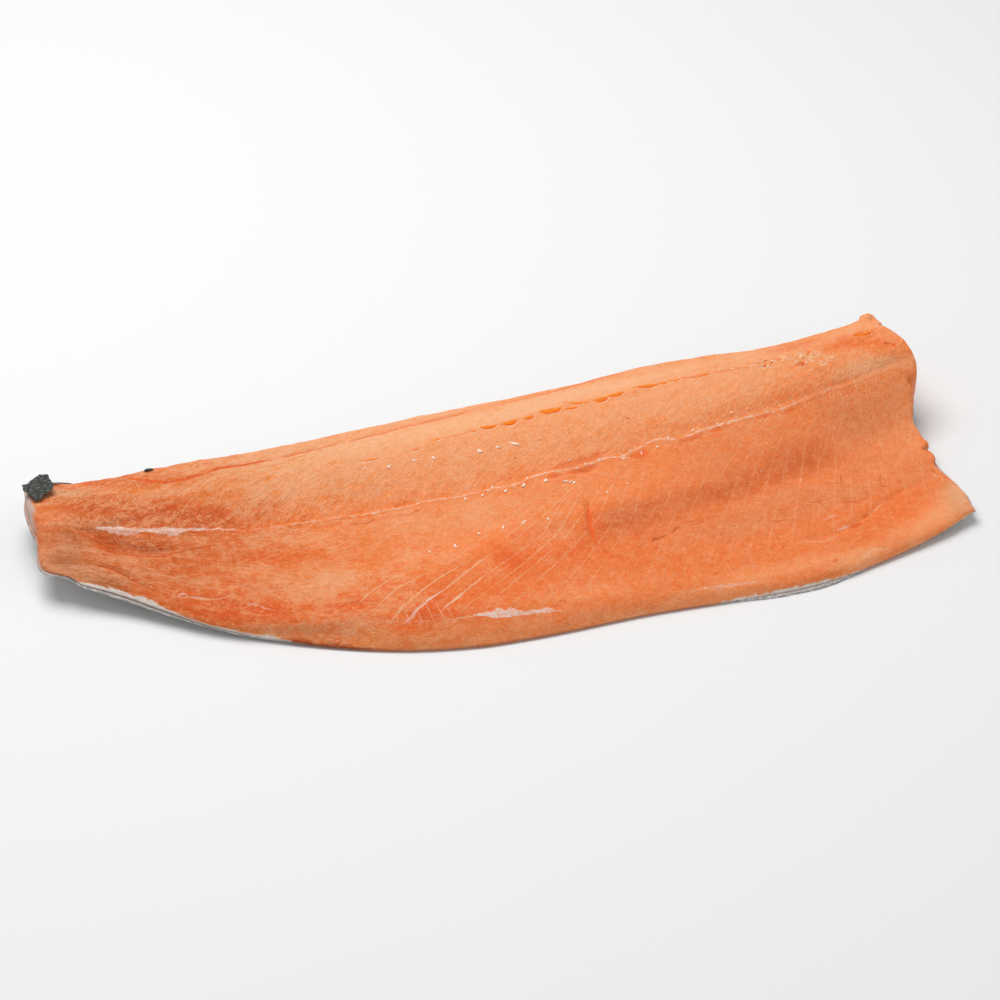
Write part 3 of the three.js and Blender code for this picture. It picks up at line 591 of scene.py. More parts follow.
def wallPlace(x, y):
    # across and along the faint upright streaks of the wall under the crest
    return 0.5 * (x - 0.34 * y), 0.3 * y


def strokePlace(x, y, z):
    # where the strokes are read, and how far they fade where one direction gives way to another
    off = y - midlineY(x) + 1.5 * roughNoise(x / 9, y / 9, 2, 23)
    toWall = x + 0.25 * y - 146 - 5 * roughNoise(x / 12, y / 14, 2, 24)
    toLining = y + 26 + 4 * roughNoise(x / 11, y / 9, 2, 30)
    onWall = (off < -1) & (toWall > 0) & (toLining > 0)
    places = []
    for leaning, lying, wall in zip(leaningPlace(x, y), lyingPlace(x, y), wallPlace(x, y)):
        places.append(np.where(off > 0, leaning, np.where(onWall, wall, lying)))
    below = off < 0
    fade = ramp(np.abs(off), 0.3, 2.5)
    fade *= np.where(below & (toLining > -9), ramp(np.abs(toWall), 1, 9), 1)
    fade *= np.where(below & (toWall > -9), ramp(np.abs(toLining), 1, 9), 1)
    return np.stack((places[1], places[0], z), -1), fade


def strokeStrength(x, y):
    # how strongly the brushed strokes show: most in the tail half, least on the wall and the lining
    off = y - midlineY(x)
    strong = 1.5 - 0.9 * ramp(x, -130, -30) - 0.1 * ramp(x, 0, 60) * ramp(-off, -4, 6)
    strong *= 1 - 0.5 * ramp(x, -178, -140) * ramp(-off, 0, 8) - 0.15 * ramp(x, -80, -20) * ramp(-off, 18, 40)
    strong *= 0.3 + 0.7 * np.maximum(ramp(x, -206, -192), ramp(off, 10, 20))
    return np.clip(strong, 0.2, 1.5)


def patchStrength(x, y):
    # how far the flesh swings between deep orange and pale patches
    off = y - midlineY(x)
    strong = 1.5 - 0.9 * ramp(x, -110, -20) + 0.4 * ramp(-off, 0, 20) * (1 - ramp(x, -40, 20))
    strong *= 1 - 0.4 * ramp(x, 20, 90) * ramp(-off, 0, 12)
    return strong


def septaShown(x, y):
    off = y - midlineY(x)
    below = ramp(-off, 1.5, 14)
    left = ramp(x + 0.3 * (y + 40), -122, -92)
    belly = ramp(y - bellyY(x), 6, 16)
    lining = 1 - ramp(x * 0.62 - y, 158, 172) * ramp(-y, 30, 44)
    wall = (1 - 0.66 * ramp(x - 0.5 * y, 25, 60)) * (1 - 0.6 * ramp(x, 150, 180) * ramp(y, -30, -15))
    return below * left * belly * lining * wall


# the flesh's colours run from deep orange (0) over salmon (1) to peach (2), as seen in daylight, 0 to 255
fleshScale = [(240, 92, 15), (255, 140, 75), (255, 185, 135)]
# each flesh colour's place on that scale, and its brightness
fleshShades = {
    "paleLoin": (2, 1), "loin": (1.5, 1), "warmLoin": (1.55, 1), "sidePaleAndLight": (1.65, 1),
    "paleLining": (1.35, 1), "brightLining": (1.1, 1), "middle": (1, 1), "paleMiddle": (1.45, 0.98),
    "wallPaleLight": (1.45, 0.96), "veil": (1.5, 0.96), "beige": (2, 0.9), "brick": (1.15, 0.9),
    "brown": (1.3, 0.72), "tail": (0.85, 0.92), "belly": (0.75, 0.97), "lining": (0.65, 0.97),
    "glow": (0.5, 1), "valleyShade": (0.45, 0.85), "crackShadeRed": (0.3, 0.82), "hollowShadeRed": (0.25, 0.88),
    "deepTail": (0.2, 0.88), "warmStroke": (0.2, 0.99), "cleftShadowRed": (0.2, 0.75),
    "deepBelly": (0.05, 0.98),
}
# and what is off that scale
paints = {
    "saturated": (255, 138, 8), "deepSlit": (236, 88, 0), "cream": (250, 196, 158),
    "sheetCream": (252, 192, 146), "lipHighlightAndFlakeCream": (255, 212, 172), "membrane": (246, 192, 162),
    "silver": (246, 238, 234), "lilac": (214, 196, 192),
}
for name, (place, bright) in fleshShades.items():
    paints[name] = tuple(bright * np.interp(place, (0, 1, 2), channel) for channel in zip(*fleshScale))
# soft areas laid over each other: x, y, reach along, reach across, turn in degrees, paint, strength
areas = [
    # (183, 12) and (206, 12): the steep wall under the crest is paled with painted light
    (140, -70, 30, 6, 12, "brightLining", 0.7), (183, 12, 18, 12, 0, "wallPaleLight", 0.6),
    (206, 12, 10, 18, 0, "wallPaleLight", 0.7), (205, 34, 14, 4, 4, "paleLoin", 0.4),
    (-131, 8, 8, 5, 20, "deepBelly", 0.7), (-137, -16, 9, 5, -20, "deepBelly", 0.7),
    (-132, -32, 12, 4.5, -22, "deepBelly", 0.9), (-110, -15, 17, 7, 10, "paleMiddle", 0.8),
    (-151, 0, 12, 6, -20, "tail", 0.6), (-7, -27, 7, 8, -40, "deepBelly", 0.5),
    # (-40, 74): the far rim is paled with painted light where it falls away from the top
    (-40, 74, 110, 8, 0, "sidePaleAndLight", 0.8), (90, 77, 110, 6, 0, "warmLoin", 0.8),
    # the pale bands along the top of the loin are partly its paler flesh, partly a painted sheen
    (-5, 60, 90, 5, 1, "paleLoin", 0.7), (-20, 52, 120, 11, 0, "paleLoin", 0.8),
    (70, 63, 60, 6, 0, "paleLoin", 0.8), (-70, 36, 50, 9, -2, "loin", 0.7),
    (10, 20, 90, 7, 0, "warmLoin", 0.6), (35, 35, 60, 6, 2, "warmLoin", 0.6),
    (60, 48, 55, 4, 3, "glow", 0.35), (125, 34, 30, 11, 6, "loin", 0.7),
    (120, 55, 40, 5, 0, "warmLoin", 0.6), (135, 70, 60, 5, -1, "warmLoin", 0.8),
    (168, 64, 16, 8, 0, "lining", 0.8), (200, 52, 15, 10, 0, "glow", 0.8), (214, 66, 6, 12, 0, "loin", 0.8),
    (196, 34, 22, 4, 6, "paleMiddle", 0.7), (-100, 68, 50, 4, 0, "warmLoin", 0.6),
    (-190, 52, 14, 8, -14, "deepTail", 0.9), (-163, 38, 20, 7, -14, "deepTail", 0.8),
    (-145, 28, 16, 7, -15, "deepTail", 0.8), (-118, 27, 9, 9, 0, "tail", 0.8),
    (-196, 66, 13, 6, -20, "beige", 0.8), (-170, 58, 16, 4, -22, "warmLoin", 0.6),
    (-188, 73, 12, 3, -10, "lining", 0.7), (-207, 26, 11, 13, 0, "brown", 0.9),
    # (-168, 16) and (-186, 28): darker red painted into the tail hollow as shade
    (-196, 9, 14, 5, -35, "brown", 0.7), (-168, 16, 10, 5, -28, "hollowShadeRed", 0.9),
    (-186, 28, 9, 3.5, -38, "hollowShadeRed", 0.7), (-212, 46, 6, 16, 0, "tail", 0.7),
    (-132, 2, 28, 9, -8, "tail", 0.8), (-104, -6, 26, 5, -12, "belly", 0.7),
    (-143, -27, 26, 9, -32, "deepBelly", 0.65), (-165, -10, 16, 4, -38, "belly", 0.6),
    (-100, -25, 22, 8, 8, "paleMiddle", 0.9), (-94, -45, 18, 8, -25, "deepBelly", 0.8),
    (-78, -14, 24, 5, -12, "belly", 0.4), (-35, -4, 50, 9, -2, "paleMiddle", 0.8),
    (-50, -25, 26, 8, 12, "middle", 0.6), (-50, -48, 26, 9, 30, "belly", 0.8),
    (-62, -57, 14, 4, 25, "deepBelly", 0.7), (-16, -36, 11, 6, -60, "deepBelly", 0.9),
    # the dark areas along the hollow below the spine line, here and at (11, -22), are painted shade
    (28, -32, 4, 20, -8, "belly", 0.5), (48, -26, 26, 10, 12, "valleyShade", 0.9),
    (95, -18, 32, 10, 10, "valleyShade", 0.9), (142, -7, 32, 10, 10, "valleyShade", 0.9),
    (180, 8, 26, 13, 0, "brick", 0.7), (40, -56, 36, 9, 4, "belly", 0.6),
    (15, -70, 36, 5, -2, "middle", 0.8), (100, -42, 32, 9, 4, "brick", 0.7),
    (150, -33, 28, 9, 8, "brick", 0.8), (180, -52, 18, 7, 20, "glow", 0.6),
    (146, -67, 28, 5, 14, "lining", 0.8), (100, -77, 40, 5, 0, "paleLining", 0.8),
    (206, -48, 6, 14, 0, "beige", 0.8), (-82, -63, 14, 5, -28, "veil", 0.7),
    # (192, 33): a painted highlight on the crest near the head
    (-52, -74, 10, 3, -12, "veil", 0.5), (192, 33, 16, 3.5, 8, "paleLoin", 0.6),
    (-127, -48.5, 13, 3, -42, "beige", 0.7), (30, -22, 2.5, 8, 10, "deepBelly", 0.5),
    (196, -20, 14, 16, 0, "brick", 0.6), (-40, -74, 50, 4, -8, "belly", 0.85),
    (186, -62, 18, 7, 25, "paleLoin", 0.6), (203, -52, 10, 12, 0, "beige", 0.6),
    (146, -77, 18, 4, 10, "paleLoin", 0.55), (70, -78, 22, 3, 0, "paleLining", 0.6),
    (173, -15, 18, 8, 10, "brick", 0.7), (128, -28, 24, 6, 8, "brick", 0.8),
    (100, -2, 20, 8, 10, "brick", 0.4), (11, -22, 12, 5, 10, "valleyShade", 0.4),
    (9, -40, 20, 9, 8, "deepBelly", 0.45), (-170, 33, 14, 4, -16, "deepTail", 0.8),
    (-184, 36, 8, 3, -14, "brown", 0.6), (-60, -61, 15, 5, 18, "deepBelly", 0.6),
    (-87, -73, 11, 4, -20, "belly", 0.6), (-121, 0, 11, 5, -10, "deepBelly", 0.55),
    (-126, -18, 12, 5, -20, "tail", 0.5), (-36, -49, 15, 6, 20, "belly", 0.5),
    (193, 49, 15, 6, 0, "glow", 0.6), (107, 55, 24, 5, 0, "loin", 0.6),
]


def linear(colour):
    # what the finish works with, from a colour of 0 to 255
    shade = np.asarray(colour, float) / 255
    return np.where(shade <= 0.04045, shade / 12.92, ((shade + 0.055) / 1.055) ** 2.4)


def towards(base, paint, share):
    return base + (np.array(paint, float) - base) * share[..., None]


def spun(x, y, turn):
    # x and y in a frame turned by some degrees
    c, s = math.cos(math.radians(turn)), math.sin(math.radians(turn))
    return x * c + y * s, y * c - x * s


def toneAt(x, y):
    # the slow colour of the flesh, the areas' borders broken up
    wx = x + 6 * roughNoise(x / 22, y / 14, 3, 6)
    wy = y + 3.5 * roughNoise(x / 19, y / 12, 3, 7)
    off = wy - midlineY(x)
    tone = np.ones(x.shape + (3,)) * np.array(paints["middle"], float)
    tone = towards(tone, paints["loin"], ramp(off, 2, 22))
    tone = towards(tone, paints["belly"], ramp(-off, 25, 55))
    tone = towards(tone, paints["tail"], 1 - ramp(wx, -165, -85))
    for ax, ay, along, across, turn, key, strength in areas:
        u, v = spun(wx - ax, wy - ay, turn)
        inside = np.exp(-np.clip(((u / along) ** 2 + (v / across) ** 2) ** 1.2, 0, 40))
        tone = towards(tone, paints[key], strength * inside)
    return tone


def coarseAt(x, y):
    # how coarse the cut surface is: smooth on the wall and the lining, rough on the loin and the tail
    off = y - midlineY(x)
    rough = 1.3 + 0.08 * ramp(off, -8, 6) + 0.5 * (1 - ramp(x, -110, 0))
    rough = rough - 0.1 * ramp(x, 20, 120) * ramp(-off, 0, 12)
    rough -= 0.9 * (1 - ramp(x, -206, -188)) * (1 - ramp(y, 30, 44))
    rough -= 0.35 * ramp(x * 0.62 - y, 158, 172) * ramp(-y, 30, 44)
    rough -= 0.35 * bell(off + 24, 15) * ramp(x, 20, 50) * (1 - ramp(x, 165, 190))
    return np.clip(rough, 0.4, 1.9)


def deepToneOf(tone):
    # what the flesh deepens to: the same hue, more saturated and a little darker
    return np.clip(tone * np.array((0.965, 0.85, 0.52)) - np.array((0, 4, 12)), 0, 255)


def paleToneOf(tone):
    # and what it lightens to
    return tone + (np.array((253, 188, 146), float) - tone) * 0.55


flesh = {
    "rows": 520, "endRows": 4, "curtainRows": 9, "endRound": 2.2,
    "faceColumns": 10, "topColumns": 136, "rimColumns": 7, "bankColumns": 9, "bottomColumns": 16,
    "edgeSoft": 14,
}


def deselectAll():
    if bpy.context.object and bpy.context.object.mode != "OBJECT":
        bpy.ops.object.mode_set(mode="OBJECT")
    bpy.ops.object.select_all(action="DESELECT")


def wovenGrid(name, acrossCount, aroundCount):
    # a flat grid, and for each of its points the row and column it stands in
    deselectAll()
    bpy.ops.mesh.primitive_grid_add(x_subdivisions=acrossCount - 1, y_subdivisions=aroundCount - 1, size=2)
    piece = bpy.context.object
    piece.name = name
    piece.data.name = name
    count = len(piece.data.vertices)
    assert count == acrossCount * aroundCount, "the grid came out another size"
    flat = np.empty(count * 3)
    piece.data.vertices.foreach_get("co", flat)
    flat = flat.reshape(-1, 3)
    row = np.rint((flat[:, 0] + 1) / 2 * (acrossCount - 1)).astype(int)
    column = np.rint((flat[:, 1] + 1) / 2 * (aroundCount - 1)).astype(int)
    return piece, row, column


def placePoints(piece, row, column, points):
    # points[row, column] in millimetres
    piece.data.vertices.foreach_set("co", (points[row, column] * mm).ravel())
    piece.data.update()


def giveValue(piece, name, values, row, column):
    layer = piece.data.attributes.new(name, "FLOAT", "POINT")
    layer.data.foreach_set("value", values[row, column].astype(np.float32).ravel())


def giveColour(piece, name, values, row, column):
    layer = piece.data.attributes.new(name, "FLOAT_COLOR", "POINT")
    shade = linear(values[row, column])
    shade = np.concatenate((shade, np.ones((len(shade), 1))), 1)
    layer.data.foreach_set("color", shade.astype(np.float32).ravel())


def giveVector(piece, name, values, row, column):
    layer = piece.data.attributes.new(name, "FLOAT_VECTOR", "POINT")
    layer.data.foreach_set("vector", values[row, column].astype(np.float32).ravel())


def roundTheRing(y, z):
    # how far round the piece each point is
    steps = np.hypot(np.diff(y, axis=1), np.diff(z, axis=1))
    return np.concatenate((np.zeros((len(y), 1)), np.cumsum(steps, 1)), 1)


def layOut(piece, row, column, alongPlace, aroundPlace):
    # the piece's own map in metres along and around it
    loops = np.empty(len(piece.data.loops), int)
    piece.data.loops.foreach_get("vertex_index", loops)
    place = np.stack((alongPlace[row, column], aroundPlace[row, column]), 1)[loops] * mm
    piece.data.uv_layers[0].data.foreach_set("uv", place.ravel())


def closeAndTurnOut(piece, near=1e-6):
    # the seam and ends are merged, and every face is turned to point out
    deselectAll()
    piece.select_set(True)
    bpy.context.view_layer.objects.active = piece
    bpy.ops.object.mode_set(mode="EDIT")
    bpy.ops.mesh.select_all(action="SELECT")
    bpy.ops.mesh.remove_doubles(threshold=near)
    bpy.ops.mesh.dissolve_degenerate(threshold=near)
    bpy.ops.mesh.select_all(action="SELECT")
    bpy.ops.mesh.normals_make_consistent(inside=False)
    bpy.ops.mesh.select_all(action="DESELECT")
    bpy.ops.mesh.select_non_manifold()
    bpy.ops.object.mode_set(mode="OBJECT")
    openEdges = sum(edge.select for edge in piece.data.edges)
    for polygon in piece.data.polygons:
        polygon.use_smooth = True
    print(piece.name, len(piece.data.polygons), "faces, open edges:", openEdges)


def ringNormals(y, z):
    # outward in the section, for rings that run up the belly face, over the top and back below
    dy = np.roll(y, -1, 1) - np.roll(y, 1, 1)
    dz = np.roll(z, -1, 1) - np.roll(z, 1, 1)
    length = np.maximum(np.hypot(dy, dz), 1e-6)
    return -dz / length, dy / length


def acrossPlaces(steps):
    # closer together at the spine line and at the slits
    fine = np.linspace(0, 1, 2001)
    wanted = 1 + 0.5 * bell(fine - 0.5, 0.025) + 0.35 * bell(fine - 0.79, 0.05)
    total = np.concatenate(([0], np.cumsum((wanted[1:] + wanted[:-1]) / 2)))
    return np.interp(np.linspace(0, total[-1], steps + 1), total, fine)


def roundedX(x, y):
    # the cut ends, with the belly corner of the tail rounded off
    corner = np.clip((bellyY(x) + 10 - y) / 10, 0, 1)
    return cutX(x, y) + 7.5 * (1 - np.sqrt(1 - corner ** 2 * 0.98)) * (1 - ramp(x, tailX, tailX + 16))


def raggedX(x, y):
    # small lobes and notches along the head end, most of them near the belly
    lobes = 0.5 * roughNoise(y / 3.6, y * 0 + 1.5, 3, 16)
    lobes += np.interp(y, *np.array(edges["headRagged"], float).T)
    return roundedX(x, y) + lobes * ramp(x, 197, 215)


def fleshSection(x):
    # the closed section at each place x: y, z and how much of the top's relief a point takes
    x = x[:, None]
    base, belly, edge = baseZ(x), bellyY(x), topZ(x, np.zeros_like(x))
    up = np.linspace(0, 1, flesh["faceColumns"], endpoint=False)[None, :]
    faceY = belly + faceIn(x) * up - faceOut(x) * np.sin(math.pi * up)
    faceZ = base + (edge - base) * up
    across = acrossPlaces(flesh["topColumns"])[None, :] + 0 * x
    upperY, upperZ = topY(x + 0 * across, across), topZ(x + 0 * across, across)
    rise = np.linspace(1, 0.6, flesh["rimColumns"] + 1)[None, 1:] + 0 * x
    rimPointY, rimPointZ = bankPoint(x + 0 * rise, rise)
    rise = np.linspace(0.6, 0, flesh["bankColumns"] + 1)[None, 1:] + 0 * x
    bankY, bankZ = bankPoint(x + 0 * rise, rise)
    back = np.linspace(0, 1, flesh["bottomColumns"] + 1)[None, 1:-1]
    underY = bankY[:, -1:] + (belly - bankY[:, -1:]) * back
    underZ = base + 0 * underY
    y = np.concatenate((faceY, upperY, rimPointY, bankY, underY), 1)
    z = np.concatenate((faceZ, upperZ, rimPointZ, bankZ, underZ), 1)
    # the belly edge bulges here and there
    topLean = np.clip(1 - 2.2 * across, 0, 1) ** 2
    lean = np.concatenate((1 + 0 * faceY, topLean, 0 * rimPointY, 0 * bankY, back ** 3 + 0 * x), 1)
    y = y + smoothCurve(edges["bellyPush"])(x) * lean
    # the cut's edge over the belly face is soft
    near = np.arange(y.shape[1]) - flesh["faceColumns"]
    for _ in range(flesh["edgeSoft"]):
        share = 0.9 * bell(near, 3.2)[None, 1:-1]
        for grid in (y, z):
            grid[:, 1:-1] += share * ((grid[:, :-2] + grid[:, 2:]) / 2 - grid[:, 1:-1])
    rimTakes = 0 * rimPointY + np.linspace(1, 0.35, flesh["rimColumns"])
    faceTakes = 0 * faceY + up ** 2 * 0.6
    takes = np.concatenate((faceTakes, 0 * upperY + 1, rimTakes, 0 * bankY + 0.2, 0 * underY), 1)
    return y, z, takes


def cutEnd(station, ringY, ringZ, inY, inZ, sign):
    # rows that round over the cut at one end (sign -1 at the tail), then hang down the cut face to its foot
    roundTo, topCount = flesh["endRound"], len(ringY) - (flesh["bottomColumns"] - 1)
    base = baseZ(np.array([station]))[0]
    room = np.minimum(roundTo, 0.42 * np.maximum(ringZ - base, 0))
    room[topCount:] = 0
    low = ringZ - base < 1e-4
    outX = lambda reach, yy: raggedX(station + sign * reach + 0 * yy, yy)
    footX = lambda yy: outX(roundTo, yy) - sign * 0.3
    rows = []
    for k in range(1, flesh["endRows"] + 1):
        angle = math.pi / 2 * k / flesh["endRows"]
        yy, zz = ringY - inY * room * (1 - math.cos(angle)), ringZ - inZ * room * (1 - math.cos(angle))
        under = footX(yy) if k == flesh["endRows"] else outX(roundTo * 0.8 * math.sin(angle), yy)
        rows.append((np.where(low, under, outX(roundTo * math.sin(angle), yy)), yy, zz))
    lastY, lastZ = rows[-1][1:]
    underY = np.concatenate(([ringY[0]], ringY[topCount:][::-1], [ringY[topCount - 1]]))
    nearest = underY[np.argmin(np.abs(lastY[:, None] - underY[None, :]), 1)]
    nearest[0], nearest[topCount - 1] = ringY[0], ringY[topCount - 1]
    for k in range(1, flesh["curtainRows"] + 1):
        s, last = k / flesh["curtainRows"], k == flesh["curtainRows"]
        yy, zz = np.where(last, nearest, lastY), lastZ + (base - lastZ) * s
        yy[topCount:], zz[topCount:] = ringY[topCount:], base
        bulge = 0.7 * math.sin(math.pi * s) * roughNoise(yy / 8, zz / 5, 3, 12)
        rows.append((np.where(low | last, footX(yy), outX(roundTo, yy) + sign * (bulge - 0.3 * s)), yy, zz))
    return [np.array(part)[::sign] for part in zip(*rows)]


def sideColours(x, y, z, tone):
    # the side along the belly edge: a paler face, partly a pale film and partly painted light, the skin's
    # silver edge, a painted shadow in the cleft, and where the grain still swings
    faceCount = flesh["faceColumns"]
    sideLightShare, upFace = np.zeros(x.shape), np.full(x.shape, 9.0)
    sideLightShare[:, :faceCount] = np.linspace(0.9, 0.1, faceCount)
    sideLightShare[:, -1] = 0.9
    upFace[:, :faceCount + 1] = np.linspace(0, 1.1, faceCount + 1)
    upFace[:, -1] = 0
    patchy = 0.65 + 0.5 * roughNoise(x / 9, z / 2.5, 3, 19)
    # the side face is paled towards its foot: partly a pale film, partly painted light where the face turns
    # from the light
    tone = towards(tone, paints["sidePaleAndLight"], np.clip(sideLightShare * patchy, 0, 1))
    ragged = 0.22 * roughNoise(x / 5, z / 3, 3, 25) + 0.08 * roughNoise(x / 1.7, z / 2, 2, 26)
    covered, sunk = (np.interp(x, *np.array(edges[key], float).T) for key in ("silver", "cleft"))
    silvered = ramp(covered * (1 + ragged) + ragged * (covered > 0) - upFace, -0.04, 0.08) * (covered > 0)
    # a painted shadow in the cleft under the overhanging belly edge
    shaded = ramp(sunk * (1 + ragged) - upFace, -0.05, 0.08) * (sunk > 0)
    tone = towards(tone, paints["cleftShadowRed"], 0.8 * shaded)
    sheen = np.array(paints["silver"], float) * (1 + 0.10 * roughNoise(x / 1.3, z / 1.1, 3, 27))[..., None]
    tone = tone + (sheen - tone) * (0.9 * silvered)[..., None]
    # a pinkish film hangs on the tail's edge beside the turned-up skin
    fromEnd = x - cutX(np.full(x.shape, float(tailX)), y) + 0.8 * roughNoise(y / 3, y * 0, 3, 28)
    hanging = (1 - ramp(fromEnd, 1.4, 3.2)) * ramp(y, 49, 56) * (1 - ramp(y, 74, 77))
    return towards(tone, paints["lilac"], 0.85 * hanging), np.clip(1 - silvered - hanging, 0, 1)


def markFlesh(piece, row, column, x, y, z, endCount):
    # what the finish reads at each point of the flesh
    faceCount, upperCount = flesh["faceColumns"], flesh["faceColumns"] + flesh["topColumns"] + 1
    topShare, endShare = np.zeros(x.shape), np.zeros(x.shape)
    topShare[endCount - 3:3 - endCount, faceCount - 1:upperCount + 2] = 1
    endShare[:endCount - 4], endShare[4 - endCount:] = 0.6, 0.9
    tone, plain = sideColours(x, y, z, toneAt(x, y))
    for name, swung in (("tone", tone), ("deepTone", deepToneOf(tone)), ("paleTone", paleToneOf(tone))):
        giveColour(piece, name, np.clip(tone + (swung - tone) * plain[..., None], 0, 255), row, column)
    # over the end faces the sheets turn to the arcs of flakes seen end on
    number, width = septaField(x, y)
    arcs = np.hypot(0.62 * (y - 30), 1.15 * (z - 6)) / 5.2 + 0.5 * roughNoise(y / 14, z / 9, 2, 34)
    for rows in (slice(None, endCount), slice(-endCount, None)):
        number[rows], width[rows] = arcs[rows], 8.4
    slitAbove, slitTall, _ = slitsAt(x, y)
    filmAbove, filmTall, filmShow = filmsAt(x, y)
    strokeAt, strokeFade = strokePlace(x, y, z)
    marks = {
        "midlineOff": y - midlineY(x), "midlineShow": smoothCurve(muscle["midlineShow"])(x) * topShare,
        "torn": tornAt(x, y) * topShare, "coarse": coarseAt(x, y),
        "slitAbove": slitAbove, "slitTall": np.where(topShare > 0, slitTall, -1),
        "patchShow": patchStrength(x, y), "strokeShow": strokeStrength(x, y) * strokeFade,
        "sheetNumber": number, "sheetWidth": width * 0.62,
        "sheetShow": septaShown(x, y) * topShare + endShare,
        "filmAbove": filmAbove, "filmTall": filmTall, "filmShow": filmShow * topShare,
    }
    for kind, lines in (("cream", creamLines), ("dark", crackShadeLines), ("warm", warmLines)):
        marks[kind + "Side"], show, marks[kind + "Half"] = linesAt(lines, x, y)
        marks[kind + "Show"] = show * topShare
    for name, values in marks.items():
        giveValue(piece, name, values, row, column)
    across, along = lyingPlace(x, y)
    giveVector(piece, "strokeAt", strokeAt, row, column)
    giveVector(piece, "lyingAt", np.stack((along, across, z), -1), row, column)
    giveVector(piece, "topAt", np.stack((x, y, z), -1), row, column)


def buildFlesh():
    middle = np.linspace(tailX + flesh["endRound"], headX - flesh["endRound"], flesh["rows"] + 1)
    y, z, takes = fleshSection(middle)
    x = raggedX(middle[:, None] + 0 * y, y)
    # relief, laid on along the section's own outward direction
    ny, nz = ringNormals(y, z)
    sideNoise = 0.35 * roughNoise(x / 9, (z + 0.3 * y) / 3.5, 3, 9) * np.clip(1 - takes, 0, 1)
    sideNoise[:, -(flesh["bottomColumns"] - 1):] = 0
    sideNoise[:, 0] = 0
    lift = topRelief(x, y) * takes + sideNoise * 0.8
    y, z = y + ny * lift, np.maximum(z + nz * lift, baseZ(middle)[:, None])
    tail, head = (cutEnd(middle[at], y[at], z[at], ny[at], nz[at], sign) for at, sign in ((0, -1), (-1, 1)))
    x, y, z = (np.concatenate(parts, 0) for parts in zip(tail, (x, y, z), head))
    x, y, z = (np.concatenate((grid, grid[:, :1]), 1) for grid in (x, y, z))
    piece, row, column = wovenGrid("salmonFlesh", *x.shape)
    placePoints(piece, row, column, np.stack((x, y, z), -1))
    endCount = flesh["endRows"] + flesh["curtainRows"]
    down = np.zeros(len(x))
    down[:endCount] = -np.arange(endCount, 0, -1) * 2.2
    down[-endCount:] = np.arange(1, endCount + 1) * 2.2
    layOut(piece, row, column, x + down[:, None], roundTheRing(y, z))
    markFlesh(piece, row, column, x, y, z, endCount)
    closeAndTurnOut(piece)
    upper = slice(flesh["faceColumns"], flesh["faceColumns"] + flesh["topColumns"] + 1)
    return piece, np.stack([grid[endCount:-endCount, upper].ravel() for grid in (x, y, z)], 1)


salmonFlesh, cutSurface = buildFlesh()


def restingPlace(x, y):
    # the point of the cut surface nearest to a place in plan
    return cutSurface[np.argmin((cutSurface[:, 0] - x) ** 2 + (cutSurface[:, 1] - y) ** 2)]


# the ends of pin bones and the white crumbs of cartilage: x, y, turn in degrees, length, width
boneEnds = {
    "places": [
        (-62, 35.5, 20, 1.6, 0.8), (-51, 33, 45, 2.6, 1.1), (-38.5, 33.3, 10, 3.0, 0.9),
        (-29.5, 32, -45, 2.3, 1.0), (-7.3, 30.2, -52, 3.3, 1.4), (1.8, 29.6, -50, 2.6, 0.9),
        (9.9, 29.7, -52, 4.6, 1.3), (-22.5, 5.7, 80, 1.9, 0.9), (-14, 5.2, 60, 1.7, 1.0),
        (-3, 4.5, 70, 2.4, 1.2), (6.2, 5.2, 75, 2.6, 1.5), (17, 5.0, 60, 2.6, 1.7),
        (25.6, 1.9, -26, 3.0, 0.8), (28, 1.0, 10, 2.2, 0.8), (29.6, 0.3, 60, 1.9, 1.1),
        (57.5, 8.2, 40, 1.6, 1.2), (67, 9.4, 88, 2.6, 0.6), (75.7, 11.1, 0, 1.3, 1.1),
        (96, 16.5, 60, 1.8, 0.8), (-49, -22, 30, 1.5, 0.8), (-36.5, -22, 90, 2.5, 1.0),
        (-23.5, -17.5, 45, 1.7, 0.9), (-11.5, -17, 75, 2.3, 0.9), (-1.5, -16.5, 40, 3.0, 0.9),
        (10, -17.8, 100, 1.9, 0.9), (43, -8.5, 20, 1.4, 0.9), (54, -6, 60, 0.9, 0.8),
        (32, 13.4, 10, 1.2, 0.6), (46, 10.6, 60, 1.3, 0.8), (62, 12, 70, 1.4, 0.8),
        (38.6, 9.6, 30, 1.1, 0.8), (82.5, 14.4, 75, 2.2, 0.7), (9.2, 8.6, 40, 1.5, 0.7),
        (-8, 8.6, 30, 1.4, 0.7), (118.5, 22, 70, 1.6, 0.6), (109, 17.6, 60, 1.5, 0.6),
        (66, 28, 20, 1.0, 0.5), (151.5, 50.5, 70, 1.6, 0.8), (144, 45.6, 10, 1.6, 0.6),
        (174, 38, 30, 1.5, 0.8), (166.5, 36.6, 60, 1.3, 0.7), (130, 49.8, 0, 0.9, 0.8),
        (167, 51, 30, 1.2, 0.6), (121.5, -9, 30, 0.8, 0.6), (138, -18, 60, 0.7, 0.5),
    ],
    "tall": 0.55, "sunk": 0.1,
}


